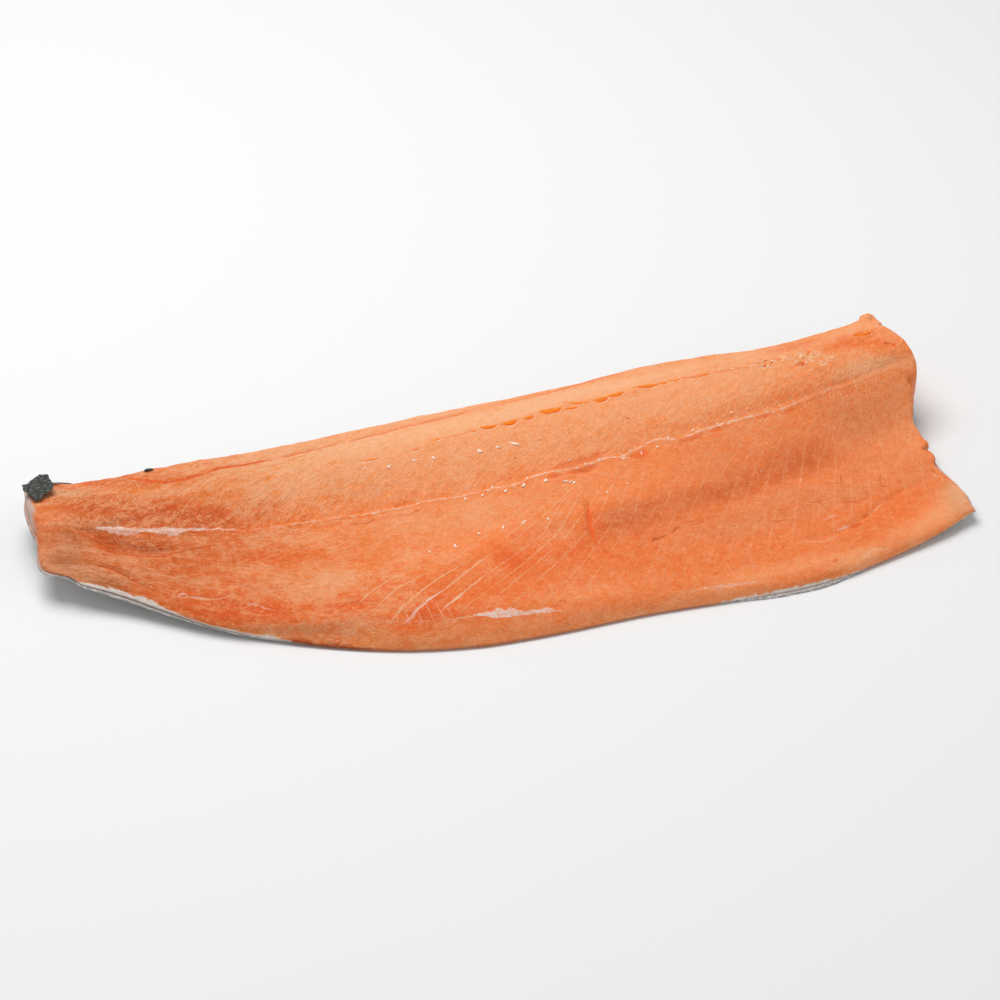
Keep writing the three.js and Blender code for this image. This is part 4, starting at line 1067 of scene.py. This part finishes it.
def buildBoneEnds():
    deselectAll()
    bpy.ops.mesh.primitive_ico_sphere_add(subdivisions=3, radius=0.5)
    pattern = bpy.context.object
    pattern.name = "bonePattern"
    made = []
    for k, (x, y, turn, length, width) in enumerate(boneEnds["places"]):
        copy = bpy.data.objects.new("boneEnd%02d" % k, pattern.data.copy())
        bpy.context.collection.objects.link(copy)
        flat = np.empty(len(copy.data.vertices) * 3)
        copy.data.vertices.foreach_get("co", flat)
        p = flat.reshape(-1, 3)
        lumps = 0.35 * roughNoise(p[:, 0] * 2.3 + k, p[:, 1] * 2.3 + p[:, 2] * 2.1, 3, 40 + k % 7)[:, None]
        p = p * (1 + lumps) * (length, width, boneEnds["tall"] + 0.25 * width)
        p[:, 1] += 0.25 * width * np.sin(p[:, 0] / length * 5 + k)
        c, s = math.cos(math.radians(turn)), math.sin(math.radians(turn))
        _, _, sz = restingPlace(x, y)
        sz += boneEnds["sunk"]
        p = np.stack((p[:, 0] * c - p[:, 1] * s + x, p[:, 0] * s + p[:, 1] * c + y, p[:, 2] + sz), 1)
        copy.data.vertices.foreach_set("co", (p * mm).ravel())
        made.append(copy)
    bpy.data.objects.remove(pattern)
    deselectAll()
    for copy in made:
        copy.select_set(True)
    bpy.context.view_layer.objects.active = made[0]
    bpy.ops.object.join()
    piece = bpy.context.object
    piece.name = "boneEnds"
    piece.data.name = "boneEnds"
    bpy.ops.object.shade_smooth()
    print("boneEnds", len(piece.data.polygons), "faces")
    return piece


boneEndPiece = buildBoneEnds()


skinSheet = {
    "rows": 330, "underColumns": 34, "bankColumns": 34,
    "climb": [(-217, 0.97), (-205, 0.9), (-195, 0.74), (-149, 0.66), (-79, 0.6), (219, 0.6)],
    "margin": [(-217, 0.6), (-197, 1.6), (-180, 2.2), (-168, 1.6), (-157, 0.5), (-145, 0.2), (-130, -0.6),
               (76, -0.6), (86, 0.8), (108, 1.7), (124, 1.5), (134, 0.6), (142, -0.4), (219, -0.4)],
    "inner": 0.3, "outer": 1.3, "pastTail": 1.0, "pastHead": 0.6,
}


def buildSkin():
    first, last = [tailX - skinSheet["pastTail"]], [headX + skinSheet["pastHead"]]
    x = np.concatenate((first, np.linspace(tailX - 0.6, headX + 0.3, skinSheet["rows"] + 1), last))[:, None]
    ragged = roughNoise(x / 3.1, x * 0 + 2.5, 3, 21)
    climb = smoothCurve(skinSheet["climb"])(x) + 0.02 * ragged
    fray = 0.3 * (1 + roughNoise(x / 4.3, x * 0 + 7.5, 3, 22))
    start = bellyY(x) - smoothCurve(skinSheet["margin"])(x) + fray + smoothCurve(edges["bellyPush"])(x)
    foot = backY(x) - bankIn(x)

    def face(out):
        along = np.linspace(0, 1, skinSheet["underColumns"], endpoint=False)[None, :]
        rise = np.linspace(0, 1, skinSheet["bankColumns"] + 1)[None, :] * climb
        bankY, bankZ = bankPoint(x + 0 * rise, rise, out)
        y = np.concatenate((start + (foot - start) * along, bankY), 1)
        level = np.maximum(0, liftCurve(x)) + sideShape["underFlesh"] - out
        return y, np.concatenate((level + 0 * along + 0 * x, bankZ), 1)

    outY, outZ = face(skinSheet["outer"])
    inY, inZ = face(skinSheet["inner"])
    inY[[0, -1]], inZ[[0, -1]] = outY[[0, -1]], outZ[[0, -1]]
    y = np.concatenate((outY, inY[:, ::-1], outY[:, :1]), 1)
    z = np.concatenate((outZ, inZ[:, ::-1], outZ[:, :1]), 1)
    xs = roundedX(x + 0 * y, y)
    piece, row, column = wovenGrid("salmonSkin", *xs.shape)
    placePoints(piece, row, column, np.stack((xs, y, z), -1))
    around = roundTheRing(y, z)
    layOut(piece, row, column, xs, around)
    count = outY.shape[1]
    backShare = np.concatenate((np.linspace(0, 1, count), np.linspace(1, 0, count), [0]))[None, :] + 0 * y
    inside = np.concatenate((np.zeros(count), np.ones(count), [0]))[None, :] + 0 * y
    giveValue(piece, "backShare", backShare, row, column)
    giveValue(piece, "inside", inside, row, column)
    giveVector(piece, "skinAt", np.stack((xs, around, 0 * y), -1), row, column)
    closeAndTurnOut(piece)
    return piece


salmonSkin = buildSkin()


turnedUp = {
    "x": -208.5, "reach": 23, "rise": 3.6,
    "widths": [(0, 6), (0.25, 5), (0.4, 5.5), (0.55, 9), (0.7, 12.8), (0.8, 13.5), (0.87, 9.5), (0.94, 5),
               (1, 2.4)],
    "swings": [(0, 1), (0.4, 1), (0.6, -0.6), (0.8, -2.2), (1, -4.6)],
    "clear": 0.7, "footDrop": 6, "climbShare": 0.38, "thick": 1.0, "steps": 60, "sides": 28,
}


def buildTurnedUpSkin():
    # the corner of skin turned up over the back edge of the tail
    t = turnedUp
    along = np.linspace(0, 1, t["steps"] + 1)[:, None]
    side = np.linspace(-1, 1, t["sides"] + 1)[None, :]
    width = smoothCurve(t["widths"])(along)
    raggedLeft, raggedRight = (roughNoise(along * 9, along * 0 + 3.5, 3, k) for k in (31, 32))
    width = width + np.where(side < 0, raggedLeft, raggedRight) * 1.5 * ramp(along, 0.3, 0.6)
    x = t["x"] + side * width / 2 + smoothCurve(t["swings"])(along)

    def route(share):
        foot = rimZ(x) - t["footDrop"]
        inward = t["reach"] * share ** 2
        topWidth = backY(x) - rimRound - spineY(x)
        across = 1 - 0.5 * np.maximum(0, inward - rimRound) / topWidth
        resting = topZ(x, across + 0 * x) + t["clear"] + t["thick"] / 2
        climbed = np.minimum(1, share / t["climbShare"])
        arch = t["rise"] * np.sin(math.pi * share ** 0.8)
        return backY(x) + 0.8 - inward, foot + (resting - foot + arch) * climbed

    y, z = route(along)
    beforeY, beforeZ = route(np.maximum(along - 0.02, 0))
    afterY, afterZ = route(np.minimum(along + 0.02, 1))
    length = np.hypot(afterY - beforeY, afterZ - beforeZ)
    outY, outZ = (afterZ - beforeZ) / length, (beforeY - afterY) / length
    half = t["thick"] / 2 * np.clip((1 - np.abs(side) ** 6), 0.02, 1) * np.clip((1 - along ** 14), 0.02, 1)
    cockle = 0.25 * roughNoise(x / 3, y / 3, 3, 33)
    x = cutX(x, y)
    topFace = np.stack((x, y + outY * (half + cockle), z + outZ * (half + cockle)), -1)
    lowFace = np.stack((x, y - outY * (half - cockle), z - outZ * (half - cockle)), -1)
    rim = (topFace + lowFace) / 2
    topFace[[0, -1]], lowFace[[0, -1]] = rim[[0, -1]], rim[[0, -1]]
    points = np.concatenate((topFace, lowFace[:, ::-1], topFace[:, :1]), 1)
    piece, row, column = wovenGrid("turnedUpSkin", *points.shape[:2])
    placePoints(piece, row, column, points)
    steps = np.linalg.norm(np.diff(points, axis=1), axis=2)
    around = np.concatenate((np.zeros((len(points), 1)), np.cumsum(steps, 1)), 1)
    layOut(piece, row, column, points[..., 1] * -1, around)
    giveValue(piece, "backShare", np.ones(around.shape), row, column)
    giveVector(piece, "skinAt", points, row, column)
    closeAndTurnOut(piece)
    return piece


turnedUpSkin = buildTurnedUpSkin()


# the loose fleck of skin on the far edge of the tail half
skinFleck = {"place": (-156.5, 74.8), "long": 4.6, "wide": 2.0, "tall": 1.1, "turn": 4}


def buildSkinFleck():
    deselectAll()
    f = skinFleck
    bpy.ops.mesh.primitive_ico_sphere_add(subdivisions=4, radius=0.5)
    piece = bpy.context.object
    piece.name = "skinFleck"
    piece.data.name = "skinFleck"
    bpy.ops.object.mode_set(mode="EDIT")
    bpy.ops.mesh.select_all(action="SELECT")
    bpy.ops.transform.resize(value=(f["long"] * mm, f["wide"] * mm, f["tall"] * mm))
    bpy.ops.transform.rotate(value=math.radians(-f["turn"]), orient_axis="Z", center_override=(0, 0, 0))
    bpy.ops.object.mode_set(mode="OBJECT")
    p = np.empty(len(piece.data.vertices) * 3)
    piece.data.vertices.foreach_get("co", p)
    p = p.reshape(-1, 3) / mm
    p *= 1 + 0.45 * roughNoise(p[:, 0] * 1.1, p[:, 1] * 1.6 + p[:, 2], 3, 51)[:, None]
    sx, sy, sz = restingPlace(*f["place"])
    p += (sx, sy + 0.4, sz + 0.45)
    piece.data.vertices.foreach_set("co", (p * mm).ravel())
    for name, value in (("backShare", 1.0), ("inside", 0.0)):
        layer = piece.data.attributes.new(name, "FLOAT", "POINT")
        layer.data.foreach_set("value", np.full(len(p), value, np.float32))
    layer = piece.data.attributes.new("skinAt", "FLOAT_VECTOR", "POINT")
    layer.data.foreach_set("vector", p.astype(np.float32).ravel())
    bpy.ops.object.shade_smooth()
    print("skinFleck", len(piece.data.polygons), "faces")
    return piece


skinFleckPiece = buildSkinFleck()


# small helpers for wiring a finish
def add(tree, kind, inputs=None, **settings):
    node = tree.nodes.new(kind)
    for key, value in settings.items():
        setattr(node, key, value)
    for key, value in (inputs or {}).items():
        if isinstance(value, bpy.types.NodeSocket):
            tree.links.new(value, node.inputs[key])
        else:
            node.inputs[key].default_value = value
    return node


def sums(tree, operation, a, b=0.0, c=None):
    given = {0: a, 1: b}
    if c is not None:
        given[2] = c
    return add(tree, "ShaderNodeMath", given, operation=operation).outputs[0]


def times(tree, a, b):
    return sums(tree, "MULTIPLY", a, b)


def plus(tree, a, b):
    return sums(tree, "ADD", a, b)


def minus(tree, a, b):
    return sums(tree, "SUBTRACT", a, b)


def timesPlus(tree, a, b, c):
    return sums(tree, "MULTIPLY_ADD", a, b, c)


def unsigned(tree, a):
    return sums(tree, "ABSOLUTE", a)


def eased(tree, value, low, high, toLow=0.0, toHigh=1.0):
    given = {"Value": value, "From Min": low, "From Max": high, "To Min": toLow, "To Max": toHigh}
    return add(tree, "ShaderNodeMapRange", given, interpolation_type="SMOOTHSTEP").outputs["Result"]


def spread(tree, value, low, high, toLow=0.0, toHigh=1.0):
    given = {"Value": value, "From Min": low, "From Max": high, "To Min": toLow, "To Max": toHigh}
    return add(tree, "ShaderNodeMapRange", given).outputs["Result"]


def blended(tree, share, under, over, how="MIX"):
    node = add(tree, "ShaderNodeMix", {0: share, 6: under, 7: over}, data_type="RGBA", blend_type=how)
    return node.outputs[2]


def noised(tree, at, scale, detail=3.0, rough=0.6, distort=0.0):
    given = {"Vector": at, "Scale": scale, "Detail": detail, "Roughness": rough, "Distortion": distort}
    return add(tree, "ShaderNodeTexNoise", given).outputs[0]


def stretched(tree, at, scale):
    return add(tree, "ShaderNodeVectorMath", {0: at, 1: scale}, operation="MULTIPLY").outputs[0]


def readValue(tree, name):
    return add(tree, "ShaderNodeAttribute", attribute_name=name).outputs["Fac"]


def readColour(tree, name):
    return add(tree, "ShaderNodeAttribute", attribute_name=name).outputs["Color"]


def readVector(tree, name):
    return add(tree, "ShaderNodeAttribute", attribute_name=name).outputs["Vector"]


def bare(name):
    material = bpy.data.materials.new(name)
    material.use_nodes = True
    tree = material.node_tree
    tree.nodes.clear()
    shader = tree.nodes.new("ShaderNodeBsdfPrincipled")
    output = tree.nodes.new("ShaderNodeOutputMaterial")
    tree.links.new(shader.outputs[0], output.inputs["Surface"])
    return material, tree, shader


def paintOf(key):
    return tuple(linear(paints[key])) + (1.0,)


def velvetGrain():
    # the fine wet grain of cut muscle: a warm-to-pale swing at every size, bright crumbs and a height
    group = bpy.data.node_groups.new("velvetGrain", "ShaderNodeTree")
    group.interface.new_socket("At", in_out="INPUT", socket_type="NodeSocketVector")
    for name in ("Swing", "Crumbs", "Height"):
        group.interface.new_socket(name, in_out="OUTPUT", socket_type="NodeSocketFloat")
    start, end = group.nodes.new("NodeGroupInput"), group.nodes.new("NodeGroupOutput")
    at = start.outputs["At"]
    swing = noised(group, at, 0.22, 5.0, 0.98, 0.3)
    fine = noised(group, at, 0.75, 3.0, 0.95, 0.7)
    crumbs = eased(group, fine, 0.58, 0.68)
    height = timesPlus(group, crumbs, 0.25, fine)
    for name, value in (("Swing", swing), ("Crumbs", crumbs), ("Height", height)):
        group.links.new(value, end.inputs[name])
    return group


velvetGroup = velvetGrain()


def lineMask(tree, kind, edgeNoise):
    # a fine line from its signed distance, its edge roughened
    away = unsigned(tree, timesPlus(tree, edgeNoise, 1.1, readValue(tree, kind + "Side")))
    inside = eased(tree, sums(tree, "DIVIDE", away, readValue(tree, kind + "Half")), 1.5, 0.5)
    return times(tree, inside, readValue(tree, kind + "Show"))


# how far each kind of grain swings the colour towards the pale or the deep orange, and how wet it looks; the
# strokes' swing is a painted highlight on their crests with painted shade between
freshLook = {
    "fine": 3.4, "strokes": 0.7, "patches": 0.7, "most": 1.0, "lean": 0.10,
    "subsurface": 0.2, "subsurfaceReach": (0.7, 0.4, 0.2), "bump": 0.6, "bumpHeight": 0.0007,
    "specular": 0.25, "coat": 0.03, "coatRoughness": 0.25,
}


def grainColour(tree, swing, crumbs, coarse):
    # the brushed strokes are thin pale crests over deeper flesh: the pale is a painted highlight on each
    # crest, the deeper flesh between them painted shade
    strokeAt = stretched(tree, readVector(tree, "strokeAt"), (0.15, 0.42, 0.2))
    strokes = noised(tree, strokeAt, 1.0, 2.0, 0.75, 0.8)
    crest = eased(tree, unsigned(tree, minus(tree, strokes, 0.52)), 0.13, 0.0)
    stroked = times(tree, minus(tree, crest, 0.42), readValue(tree, "strokeShow"))
    lyingAt = stretched(tree, readVector(tree, "lyingAt"), (0.035, 0.06, 0.1))
    patches = spread(tree, noised(tree, lyingAt, 1.0, 3.0, 0.6, 0.4), 0.34, 0.66, -0.5, 0.5)
    patches = times(tree, patches, readValue(tree, "patchShow"))
    fine = times(tree, minus(tree, swing, 0.5), coarse)
    swung = timesPlus(tree, fine, freshLook["fine"], freshLook["lean"])
    swung = timesPlus(tree, patches, freshLook["patches"], swung)
    swung = timesPlus(tree, stroked, freshLook["strokes"], swung)
    most = freshLook["most"]
    toPale, toDeep = spread(tree, swung, 0.0, most, 0.0, most), spread(tree, swung, 0.0, -most, 0.0, most)
    colour = blended(tree, toPale, readColour(tree, "tone"), readColour(tree, "paleTone"))
    colour = blended(tree, toDeep, colour, readColour(tree, "deepTone"))
    return blended(tree, times(tree, crumbs, times(tree, coarse, 0.12)), colour, paintOf("cream")), stroked


def sheetsOver(tree, colour, wideNoise, slowNoise):
    # the sheets between flakes, each with a soft painted shadow beside it
    number = timesPlus(tree, wideNoise, 0.17, readValue(tree, "sheetNumber"))
    fromSheet = times(tree, minus(tree, number, sums(tree, "ROUND", number)), readValue(tree, "sheetWidth"))
    show = times(tree, readValue(tree, "sheetShow"), eased(tree, slowNoise, 0.35, 0.60, 0.15, 1.0))
    thin = times(tree, eased(tree, unsigned(tree, fromSheet), 0.50, 0.08), show)
    shade = times(tree, eased(tree, unsigned(tree, minus(tree, fromSheet, 0.75)), 0.9, 0.1), show)
    colour = blended(tree, times(tree, shade, 0.16), colour, paintOf("deepBelly"))
    return blended(tree, times(tree, thin, 0.6), colour, paintOf("sheetCream")), thin, shade


def spineLineOver(tree, colour, at, wideNoise, slowNoise):
    # the spine line, thin and broken
    off = unsigned(tree, timesPlus(tree, wideNoise, 3.6, readValue(tree, "midlineOff")))
    half = eased(tree, noised(tree, at, 0.33, 2.0, 0.6), 0.38, 0.68, 0.26, 0.85)
    broken = times(tree, eased(tree, slowNoise, 0.38, 0.56, 0.35, 1.0), readValue(tree, "midlineShow"))
    line = times(tree, eased(tree, sums(tree, "DIVIDE", off, half), 1.0, 0.3), broken)
    return blended(tree, times(tree, line, 0.9), colour, (1.0, 0.74, 0.58, 1)), line


def slitsOver(tree, colour, edgeNoise):
    # slits: strong orange inside, deepest in colour at the lip, whose pale edge is a painted highlight
    tall = readValue(tree, "slitTall")
    above = timesPlus(tree, edgeNoise, 1.3, readValue(tree, "slitAbove"))
    upShare = sums(tree, "DIVIDE", above, sums(tree, "MAXIMUM", tall, 0.3))
    standing = eased(tree, tall, 0.0, 0.9)
    opened = times(tree, standing, eased(tree, upShare, 1.08, 0.86))
    within = blended(tree, eased(tree, upShare, 0.1, 0.85), paintOf("deepSlit"), paintOf("saturated"))
    colour = blended(tree, times(tree, eased(tree, above, -0.25, 0.1), opened), colour, within)
    # a painted highlight along the slit's lower lip
    lip = times(tree, eased(tree, unsigned(tree, plus(tree, above, 0.62)), 0.55, 0.25), standing)
    return blended(tree, times(tree, lip, 0.8), colour, paintOf("lipHighlightAndFlakeCream")), lip


def filmsOver(tree, colour, swing, edgeNoise, wideNoise):
    # films: whitish, crisp below and ragged above
    above = timesPlus(tree, edgeNoise, 0.8, readValue(tree, "filmAbove"))
    tall = readValue(tree, "filmTall")
    under = minus(tree, timesPlus(tree, wideNoise, 2.6, tall), above)
    film = times(tree, eased(tree, above, -0.15, 0.15), eased(tree, under, -0.35, 0.35))
    film = times(tree, film, times(tree, eased(tree, tall, 0.0, 0.6), readValue(tree, "filmShow")))
    veined = blended(tree, eased(tree, swing, 0.44, 0.58), paintOf("membrane"), paintOf("silver"))
    return blended(tree, times(tree, film, 0.8), colour, veined)


def tornOver(tree, colour, at, edgeNoise, wideNoise):
    # torn places: cream crumbs standing between small deep holes
    given = {"Vector": stretched(tree, at, (0.62, 0.50, 0.2)), "Scale": 1.0}
    cells = add(tree, "ShaderNodeTexVoronoi", given, feature="F1").outputs["Distance"]
    cells = timesPlus(tree, edgeNoise, 1.6, cells)
    torn = eased(tree, timesPlus(tree, wideNoise, 2.6, readValue(tree, "torn")), 0.30, 0.75)
    flake = times(tree, eased(tree, cells, 0.40, 0.62), torn)
    hole = times(tree, eased(tree, cells, 0.20, 0.02), torn)
    colour = blended(tree, times(tree, hole, 0.85), colour, paintOf("saturated"))
    return blended(tree, times(tree, flake, 0.5), colour, paintOf("lipHighlightAndFlakeCream")), flake, hole


def fleshFinish():
    material, tree, shader = bare("freshSalmon")
    at, coarse = readVector(tree, "topAt"), readValue(tree, "coarse")
    grain = add(tree, "ShaderNodeGroup", {"At": at}, node_tree=velvetGroup)
    swing, crumbs, height = (grain.outputs[k] for k in ("Swing", "Crumbs", "Height"))
    edgeNoise = minus(tree, noised(tree, at, 0.6, 3.0, 0.75), 0.5)
    wideNoise = minus(tree, noised(tree, at, 0.4, 3.0, 0.75), 0.5)
    slowNoise = noised(tree, stretched(tree, at, (0.2, 0.07, 0.1)), 1.0, 3.0, 0.7)

    colour, stroked = grainColour(tree, swing, crumbs, coarse)
    colour, thin, shade = sheetsOver(tree, colour, wideNoise, slowNoise)
    colour, line = spineLineOver(tree, colour, at, wideNoise, slowNoise)
    colour, lip = slitsOver(tree, colour, edgeNoise)
    colour = filmsOver(tree, colour, swing, edgeNoise, wideNoise)
    colour, flake, hole = tornOver(tree, colour, at, edgeNoise, wideNoise)
    # the dark lines lay painted shade, over deeper flesh, into cracks and creases
    for kind, paint in (("warm", "warmStroke"), ("cream", "sheetCream"), ("dark", "crackShadeRed")):
        colour = blended(tree, times(tree, lineMask(tree, kind, edgeNoise), 0.85), colour, paintOf(paint))
    tree.links.new(colour, shader.inputs["Base Color"])
    tree.links.new(eased(tree, swing, 0.35, 0.65, 0.44, 0.60), shader.inputs["Roughness"])

    bumps = timesPlus(tree, stroked, 1.5, times(tree, height, times(tree, coarse, 1.6)))
    bumps = timesPlus(tree, minus(tree, flake, hole), 0.8, bumps)
    bumps = timesPlus(tree, minus(tree, thin, times(tree, shade, 0.6)), 0.3, bumps)
    bumps = timesPlus(tree, plus(tree, line, lip), 0.5, bumps)
    given = {"Strength": freshLook["bump"], "Distance": freshLook["bumpHeight"], "Height": bumps}
    tree.links.new(add(tree, "ShaderNodeBump", given).outputs[0], shader.inputs["Normal"])
    shader.inputs["Subsurface Weight"].default_value = freshLook["subsurface"]
    shader.inputs["Subsurface Radius"].default_value = freshLook["subsurfaceReach"]
    shader.inputs["Subsurface Scale"].default_value = 0.0010
    shader.inputs["Specular IOR Level"].default_value = freshLook["specular"]
    shader.inputs["Coat Weight"].default_value = freshLook["coat"]
    shader.inputs["Coat Roughness"].default_value = freshLook["coatRoughness"]
    return material


def skinFinish():
    # near-black scales in rows on the back, silver towards the belly, a pink fat side inside
    material, tree, shader = bare("salmonSkinFinish")
    at = readVector(tree, "skinAt")
    scales = {"Vector": stretched(tree, at, (0.38, 0.72, 0.5)), "Scale": 1.0, "Randomness": 0.85}
    cells = add(tree, "ShaderNodeTexVoronoi", scales, feature="F1").outputs["Distance"]
    edge = add(tree, "ShaderNodeTexVoronoi", scales, feature="DISTANCE_TO_EDGE").outputs["Distance"]
    patches = noised(tree, at, 0.06, 4.0, 0.6)
    specks = noised(tree, at, 1.3, 2.0, 0.8)
    back = readValue(tree, "backShare")
    dark = eased(tree, plus(tree, back, timesPlus(tree, patches, 0.25, -0.12)), 0.50, 0.74)
    colour = blended(tree, dark, (0.55, 0.53, 0.50, 1), (0.050, 0.052, 0.046, 1))
    colour = blended(tree, eased(tree, edge, 0.16, 0.03, 0.0, 0.8), colour, (0.014, 0.012, 0.010, 1))
    glint = times(tree, eased(tree, cells, 0.5, 0.15), eased(tree, specks, 0.46, 0.60))
    colour = blended(tree, times(tree, glint, 0.75), colour, (0.28, 0.29, 0.26, 1))
    colour = blended(tree, eased(tree, back, 0.30, 0.18), colour, (0.82, 0.80, 0.78, 1))
    inside = readValue(tree, "inside")
    fat = blended(tree, eased(tree, back, 0.10, 0.03), (0.80, 0.50, 0.40, 1), (0.76, 0.68, 0.64, 1))
    colour = blended(tree, eased(tree, inside, 0.4, 0.6), colour, fat)
    tree.links.new(colour, shader.inputs["Base Color"])
    tree.links.new(eased(tree, specks, 0.3, 0.7, 0.34, 0.55), shader.inputs["Roughness"])
    shader.inputs["Specular IOR Level"].default_value = 0.45
    height = plus(tree, eased(tree, edge, 0.0, 0.25), times(tree, specks, 0.6))
    bump = add(tree, "ShaderNodeBump", {"Strength": 0.7, "Distance": 0.0008, "Height": height})
    tree.links.new(bump.outputs[0], shader.inputs["Normal"])
    return material


def boneFinish():
    # wet cartilage, a little see-through at the edges
    material, tree, shader = bare("pinBoneFinish")
    at = add(tree, "ShaderNodeTexCoord").outputs["Object"]
    cloud = noised(tree, at, 900.0, 3.0, 0.7)
    colour = blended(tree, eased(tree, cloud, 0.35, 0.65), (0.95, 0.72, 0.60, 1), (1.0, 0.90, 0.82, 1))
    tree.links.new(colour, shader.inputs["Base Color"])
    tree.links.new(eased(tree, cloud, 0.3, 0.7, 0.30, 0.5), shader.inputs["Roughness"])
    shader.inputs["Subsurface Weight"].default_value = 0.3
    shader.inputs["Subsurface Radius"].default_value = (0.9, 0.5, 0.3)
    shader.inputs["Subsurface Scale"].default_value = 0.0006
    return material


salmonFlesh.data.materials.append(fleshFinish())
boneEndPiece.data.materials.append(boneFinish())
skinMaterial = skinFinish()
for piece in (salmonSkin, turnedUpSkin, skinFleckPiece):
    piece.data.materials.append(skinMaterial)
print("finishes set")

for piece in (salmonFlesh, boneEndPiece):
    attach(piece, "root")
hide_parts("flesh")
for piece in (salmonSkin, turnedUpSkin, skinFleckPiece):
    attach(piece, "root")
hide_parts("skin")


# pale table, soft light from above and the camera
studio = {
    "table": (0.80, 0.80, 0.80), "world": 0.42,
    "keyPlace": (-0.25, 0.55, 1.5), "keySize": 1.3, "keyPower": 22.1,
    "fillPlace": (0.9, -0.9, 1.1), "fillSize": 1.2, "fillPower": 2,
    "cameraPlace": (-0.3630, -1.0331, 0.7863), "cameraAim": (-0.003, 0.0125, 0.012), "lens": 103.03,
}


def softLight(name, place, size, power):
    bpy.ops.object.light_add(type="AREA", location=place)
    lamp = bpy.context.object
    lamp.name = name
    lamp.data.shape = "DISK"
    lamp.data.size = size
    lamp.data.energy = power
    lamp.rotation_euler = Vector(place).to_track_quat("Z", "Y").to_euler()


def buildStudio():
    deselectAll()
    bpy.ops.mesh.primitive_plane_add(size=6, location=(0, 0, 0))
    table = bpy.context.object
    table.name = "paleTable"
    material, _, shader = bare("paleTableTop")
    shader.inputs["Base Color"].default_value = studio["table"] + (1,)
    shader.inputs["Roughness"].default_value = 0.7
    table.data.materials.append(material)
    table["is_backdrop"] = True
    world = bpy.data.worlds.new("softRoom")
    world.use_nodes = True
    background = world.node_tree.nodes["Background"]
    background.inputs["Color"].default_value = (1, 1, 1, 1)
    background.inputs["Strength"].default_value = studio["world"]
    bpy.context.scene.world = world
    softLight("keyLight", studio["keyPlace"], studio["keySize"], studio["keyPower"])
    softLight("fillLight", studio["fillPlace"], studio["fillSize"], studio["fillPower"])
    bpy.ops.object.camera_add(location=studio["cameraPlace"])
    camera = bpy.context.object
    look = Vector(studio["cameraPlace"]) - Vector(studio["cameraAim"])
    camera.rotation_euler = look.to_track_quat("Z", "Y").to_euler()
    camera.data.lens = studio["lens"]
    camera.data.sensor_width = 36
    bpy.context.scene.camera = camera
    bpy.context.scene.view_settings.view_transform = "Standard"
    bpy.context.scene.view_settings.look = "None"


buildStudio()
print("studio ready")

{"cad": cadBox, "visual": [list(corner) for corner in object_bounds()]}
